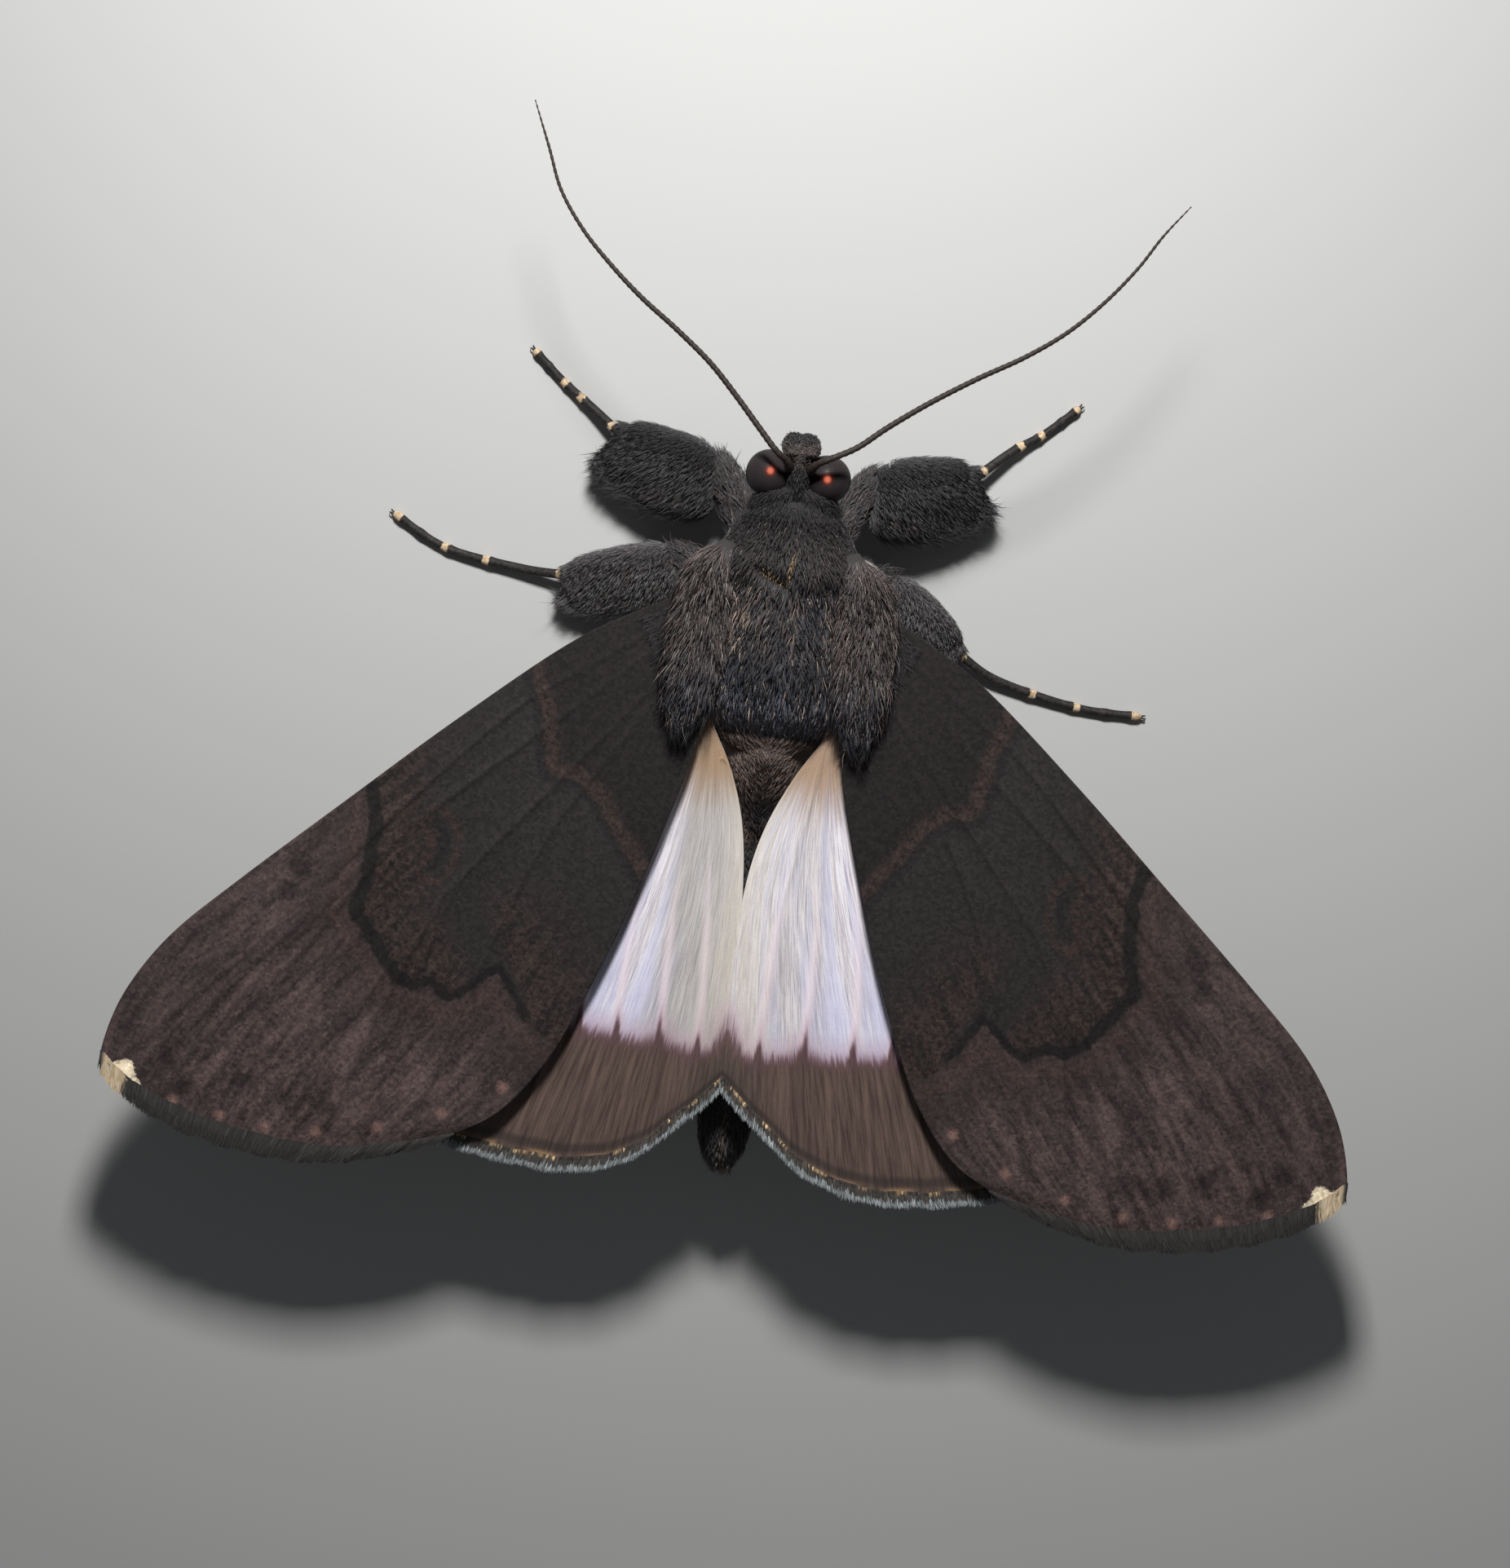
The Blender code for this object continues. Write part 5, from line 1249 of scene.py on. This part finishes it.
def hindwing_finish():
    """Silky white with lilac and pinkish streaks and a golden base, and a warm brown, ragged border."""
    f = Finish("hindwing_scales", roughness=0.45, specular_ior_level=0.4, sheen_weight=0.25,
               sheen_roughness=0.4)
    edge, margin, back, out, vein = (f.number(k) for k in ("white_edge", "margin", "back", "out", "vein"))
    silk = f.noise(f.where(1.0, (4.5, 0.22, 1), "UV"), 4.0, 0.7)
    thread = f.noise(f.where(1.0, (14.0, 0.7, 1), "UV"), 3.0, 0.65)
    broad = f.noise(f.where(1.0, (1.1, 0.12, 1), "UV"), 2.0)
    grain = f.noise(f.where(7.0), 2.0, 0.6)

    # The brightest white and the bluish threads are partly the wing's own lilac white and partly a painted
    # silky sheen.
    white = f.mix((silk * 0.45 + thread * 0.55).rise(0.4, 0.58), (0.46, 0.435, 0.53), (1.0, 0.965, 1.0))
    white = f.mix(broad.rise(0.46, 0.6) * 0.6, white, f.mix(thread, (0.52, 0.52, 0.80), (0.86, 0.86, 1.0)))
    white = f.mix(broad.fall(0.38, 0.5) * 0.4, white, (0.66, 0.60, 0.60))
    # Painted shade: the inner part turns to a shaded grey white.
    white = f.mix(f.number("dull"), white, f.mix((silk * 0.5 + thread * 0.5).rise(0.35, 0.65),
                                                 (0.34, 0.325, 0.315), (0.62, 0.59, 0.565)))
    white = f.mix(out.rise(0.45, 0.62) * back.fall(0.7, 0.8) * silk.rise(0.4, 0.6) * 0.28, white,
                  (0.56, 0.56, 0.84))
    white = f.mix(vein.fall(0.05, 0.3) * out.rise(0.25, 0.6) * 0.55, white, (0.98, 0.82, 0.88))
    cream = back.rise(0.78, 1.0)
    white = f.mix(cream * 0.4, white, (0.78, 0.72, 0.60))
    gold = (out + (silk - 0.5) * 0.1).fall(0.1, 0.26)
    white = f.mix(gold * 0.85, white, f.mix(thread, (0.24, 0.13, 0.065), (0.48, 0.31, 0.165)))

    ragged = (edge + (silk - 0.5) * 1.0 + (thread - 0.5) * 1.1
              + vein.fall(0.0, 0.22) * broad.rise(0.3, 0.6) * 0.8)
    brown = f.mix((silk * 0.6 + thread * 0.4).rise(0.36, 0.64), (0.066, 0.043, 0.038), (0.165, 0.112, 0.092))
    brown = f.mix(edge.fall(0.1, 0.9) * 0.65, brown,
                  f.mix(thread, (0.085, 0.042, 0.054), (0.19, 0.105, 0.125)))
    olive = (back + (silk - 0.5) * 0.12).rise(0.84, 0.97)
    brown = f.mix(olive * 0.5, brown, (0.065, 0.056, 0.048))
    rust = olive * thread.rise(0.52, 0.7) * edge.fall(0.4, 2.2)
    brown = f.mix(rust * 0.6, brown, (0.26, 0.12, 0.10))
    colour = f.mix(ragged.rise(-0.25, 0.3), white, brown)
    halo = ragged.rise(-1.0, -0.1) * ragged.fall(0.0, 0.5)
    colour = f.mix(halo * 0.4, colour, (0.52, 0.33, 0.42))
    rim = margin.fall(0.55, 0.8)
    dashes = f.noise(f.where(1.0, (0.55, 0.05, 1), "UV"), 1.0)
    colour = f.mix(rim * dashes.rise(0.5, 0.6) * 0.85, colour, (0.46, 0.27, 0.14))
    colour = f.mix((margin - 0.95).size().fall(0.05, 0.3) * 0.6, colour, (0.03, 0.026, 0.024))
    under = f.mix(ragged.rise(-0.25, 0.3), (0.74, 0.72, 0.70), (0.13, 0.10, 0.085))
    colour = f.mix(f.number("under"), colour, under)
    f.bump(silk * 0.6 + thread * 0.35 + grain * 0.2, 0.05, 0.7)
    return f.paint(base_color=colour, roughness=0.38 + silk * 0.2)


def skin_finish():
    """Dark horn under the coat."""
    f = Finish("body_skin", specular_ior_level=0.2)
    grain = f.noise(f.where(6.0), 3.0)
    f.bump(grain, 0.05, 0.6)
    return f.paint(base_color=f.mix(grain, (0.026, 0.024, 0.025), (0.045, 0.04, 0.04)), roughness=0.75)


def coat_finish(name, rough, shine, deep=0.4):
    """Hair scales in their own tint, darker at the root and a little glossy."""
    f = Finish(name, specular_ior_level=shine, sheen_weight=0.08, sheen_roughness=0.5)
    along, grain = f.number("along"), f.noise(f.where(14.0), 2.0)
    tint = f.mix(along.fall(0.0, 0.4) * deep, f.colour("tint"), (0.02, 0.019, 0.021))
    return f.paint(base_color=f.mix(grain * 0.15, tint, (0.02, 0.018, 0.02)), roughness=rough + grain * 0.2)


def silk_finish():
    """Smooth bright hair of the hindwings, barely darker at the root."""
    f = Finish("hindwing_silk", specular_ior_level=0.35, sheen_weight=0.15, sheen_roughness=0.4)
    grain = f.noise(f.where(10.0), 2.0)
    tint = f.mix(f.number("along").fall(0.0, 0.4) * 0.12, f.colour("tint"), (0.3, 0.25, 0.2))
    return f.paint(base_color=f.mix(grain * 0.12, tint, (0.5, 0.5, 0.58)), roughness=0.35 + grain * 0.2)


def eye_finish():
    """Black polished eye in fine facets, with a painted deep red eyeshine near its middle, made to shine by
    emission.
    """
    f = Finish("eye_lens", specular_ior_level=0.06, coat_weight=0.02, coat_roughness=0.3,
               emission_strength=1.0)
    facets = f.node("TexVoronoi", {"feature": "DISTANCE_TO_EDGE"}, {"Vector": f.where(14.0), "Scale": 1.0})
    glow = f.number("glow")
    core, halo = glow.fall(0.04, 0.2), glow.fall(0.08, 0.34)
    # The painted eyeshine shines by emission: a red core in a faint halo.
    painted_eyeshine = f.mix(core, f.mix(halo, (0.0, 0.0, 0.0), (0.06, 0.008, 0.006)), (0.72, 0.17, 0.1))
    f.bump(facets.rise(0.0, 0.12), 0.004, 0.5)
    # The reddish halo in the base colour is painted eyeshine too.
    colour = f.mix(halo, f.mix(facets.rise(0.0, 0.2), (0.030, 0.025, 0.026), (0.022, 0.018, 0.019)),
                   (0.05, 0.014, 0.010))
    return f.paint(base_color=colour, emission_color=painted_eyeshine, roughness=0.36 + facets.fall(0.0, 0.1) * 0.2)


def antenna_finish():
    """Dark brown threads of short joints, each with a paler collar."""
    f = Finish("antenna_horn", specular_ior_level=0.35)
    joint = f.number("joint")
    ring = (joint - 0.5).size().rise(0.3, 0.5)
    grain = f.noise(f.where(20.0), 2.0)
    f.bump(ring * -1 + grain * 0.3, 0.02, 0.8)
    colour = f.mix(ring * 0.6 + grain * 0.2, (0.018, 0.012, 0.010), (0.05, 0.035, 0.028))
    return f.paint(base_color=colour, roughness=0.5 + grain * 0.2)


def foot_finish():
    """Black scaly feet with cream rings at their joints."""
    f = Finish("foot_scales", specular_ior_level=0.3)
    ring, grain = f.number("ring"), f.noise(f.where(12.0), 2.0)
    scale = f.cells(f.where(9.0))
    pale = (ring + (grain - 0.5) * 0.5 + (scale - 0.5) * 0.25).rise(0.42, 0.6)
    black = f.mix(scale, (0.010, 0.009, 0.009), (0.035, 0.030, 0.028))
    f.bump(scale + grain * 0.4, 0.02, 0.7)
    return f.paint(base_color=f.mix(pale, black, f.mix(scale, (0.40, 0.27, 0.15), (0.66, 0.52, 0.36))),
                   roughness=0.55 + grain * 0.2)


def make_camera():
    """Camera where the photo was taken, rolled so that the body's line leans as it does there."""
    data = bpy.data.cameras.new("photo_camera")
    data.lens = CAMERA_LENS
    data.clip_start, data.clip_end = 0.001, 10
    camera = bpy.data.objects.new("photo_camera", data)
    bpy.context.scene.collection.objects.link(camera)
    place, target = Vector(to_frame(CAMERA_PLACE)), Vector(to_frame(CAMERA_TARGET))
    back = (place - target).normalized()
    roll = math.radians(CAMERA_ROLL)
    right = Vector((-math.sin(roll), math.cos(roll), 0)).cross(back).normalized()
    up = back.cross(right)
    camera.matrix_world = Matrix.Translation(place) @ Matrix((right, up, back)).transposed().to_4x4()
    bpy.context.scene.camera = camera


def make_light(name, place, size, power, colour):
    """A square soft light that looks at the moth."""
    data = bpy.data.lights.new(name, "AREA")
    data.size = size
    data.energy = power
    data.color = colour
    light = bpy.data.objects.new(name, data)
    bpy.context.scene.collection.objects.link(light)
    light.location = place
    light.rotation_euler = (Vector(place) * -1).to_track_quat("-Z", "Y").to_euler()
    light.visible_camera = False


def make_studio():
    """Plain pale floor, one soft light from ahead and above, and an even pale surround."""
    mesh = bpy.data.meshes.new("floor")
    half = FLOOR_HALF
    mesh.from_pydata([(-half, -half, 0), (half, -half, 0), (half, half, 0), (-half, half, 0)], [],
                     [(0, 1, 2, 3)])
    f = Finish("floor_paper", roughness=0.9, specular_ior_level=0.1)
    grain = f.noise(f.where(0.02), 1.0)
    mesh.materials.append(f.paint(base_color=f.mix(grain, (0.485, 0.488, 0.485), (0.505, 0.508, 0.505))))
    floor = bpy.data.objects.new("floor", mesh)
    bpy.context.scene.collection.objects.link(floor)
    make_light("key", KEY_PLACE, KEY_SIZE, KEY_POWER, KEY_COLOUR)
    world = bpy.data.worlds.new("studio")
    bpy.context.scene.world = world
    world.use_nodes = True
    background = world.node_tree.nodes["Background"]
    background.inputs["Color"].default_value = SURROUND
    background.inputs["Strength"].default_value = SURROUND_STRENGTH
    bpy.context.scene.view_settings.view_transform = "Standard"


FOREWING_FINISH = forewing_finish()
HINDWING_FINISH = hindwing_finish()
SKIN_FINISH = skin_finish()
COAT_FINISH = coat_finish("coat_hair", 0.45, 0.3)
FRINGE_FINISH = coat_finish("fringe_scales", 0.5, 0.25, 0.1)
SILK_FINISH = silk_finish()
EYE_FINISH = eye_finish()
ANTENNA_FINISH = antenna_finish()
FOOT_FINISH = foot_finish()
LIMBS = [Leg(name, *parts) for name, parts in LEGS.items()]
TEGULAE = {name: tegula_tube(side) for name, side in SIDES.items()}
PALPS = {name: palp_tube(side) for name, side in SIDES.items()}

make_camera()
make_studio()
make_wings()
make_fringes()
make_skin()
make_coats()
make_eyes()
make_antennae()
make_feet()
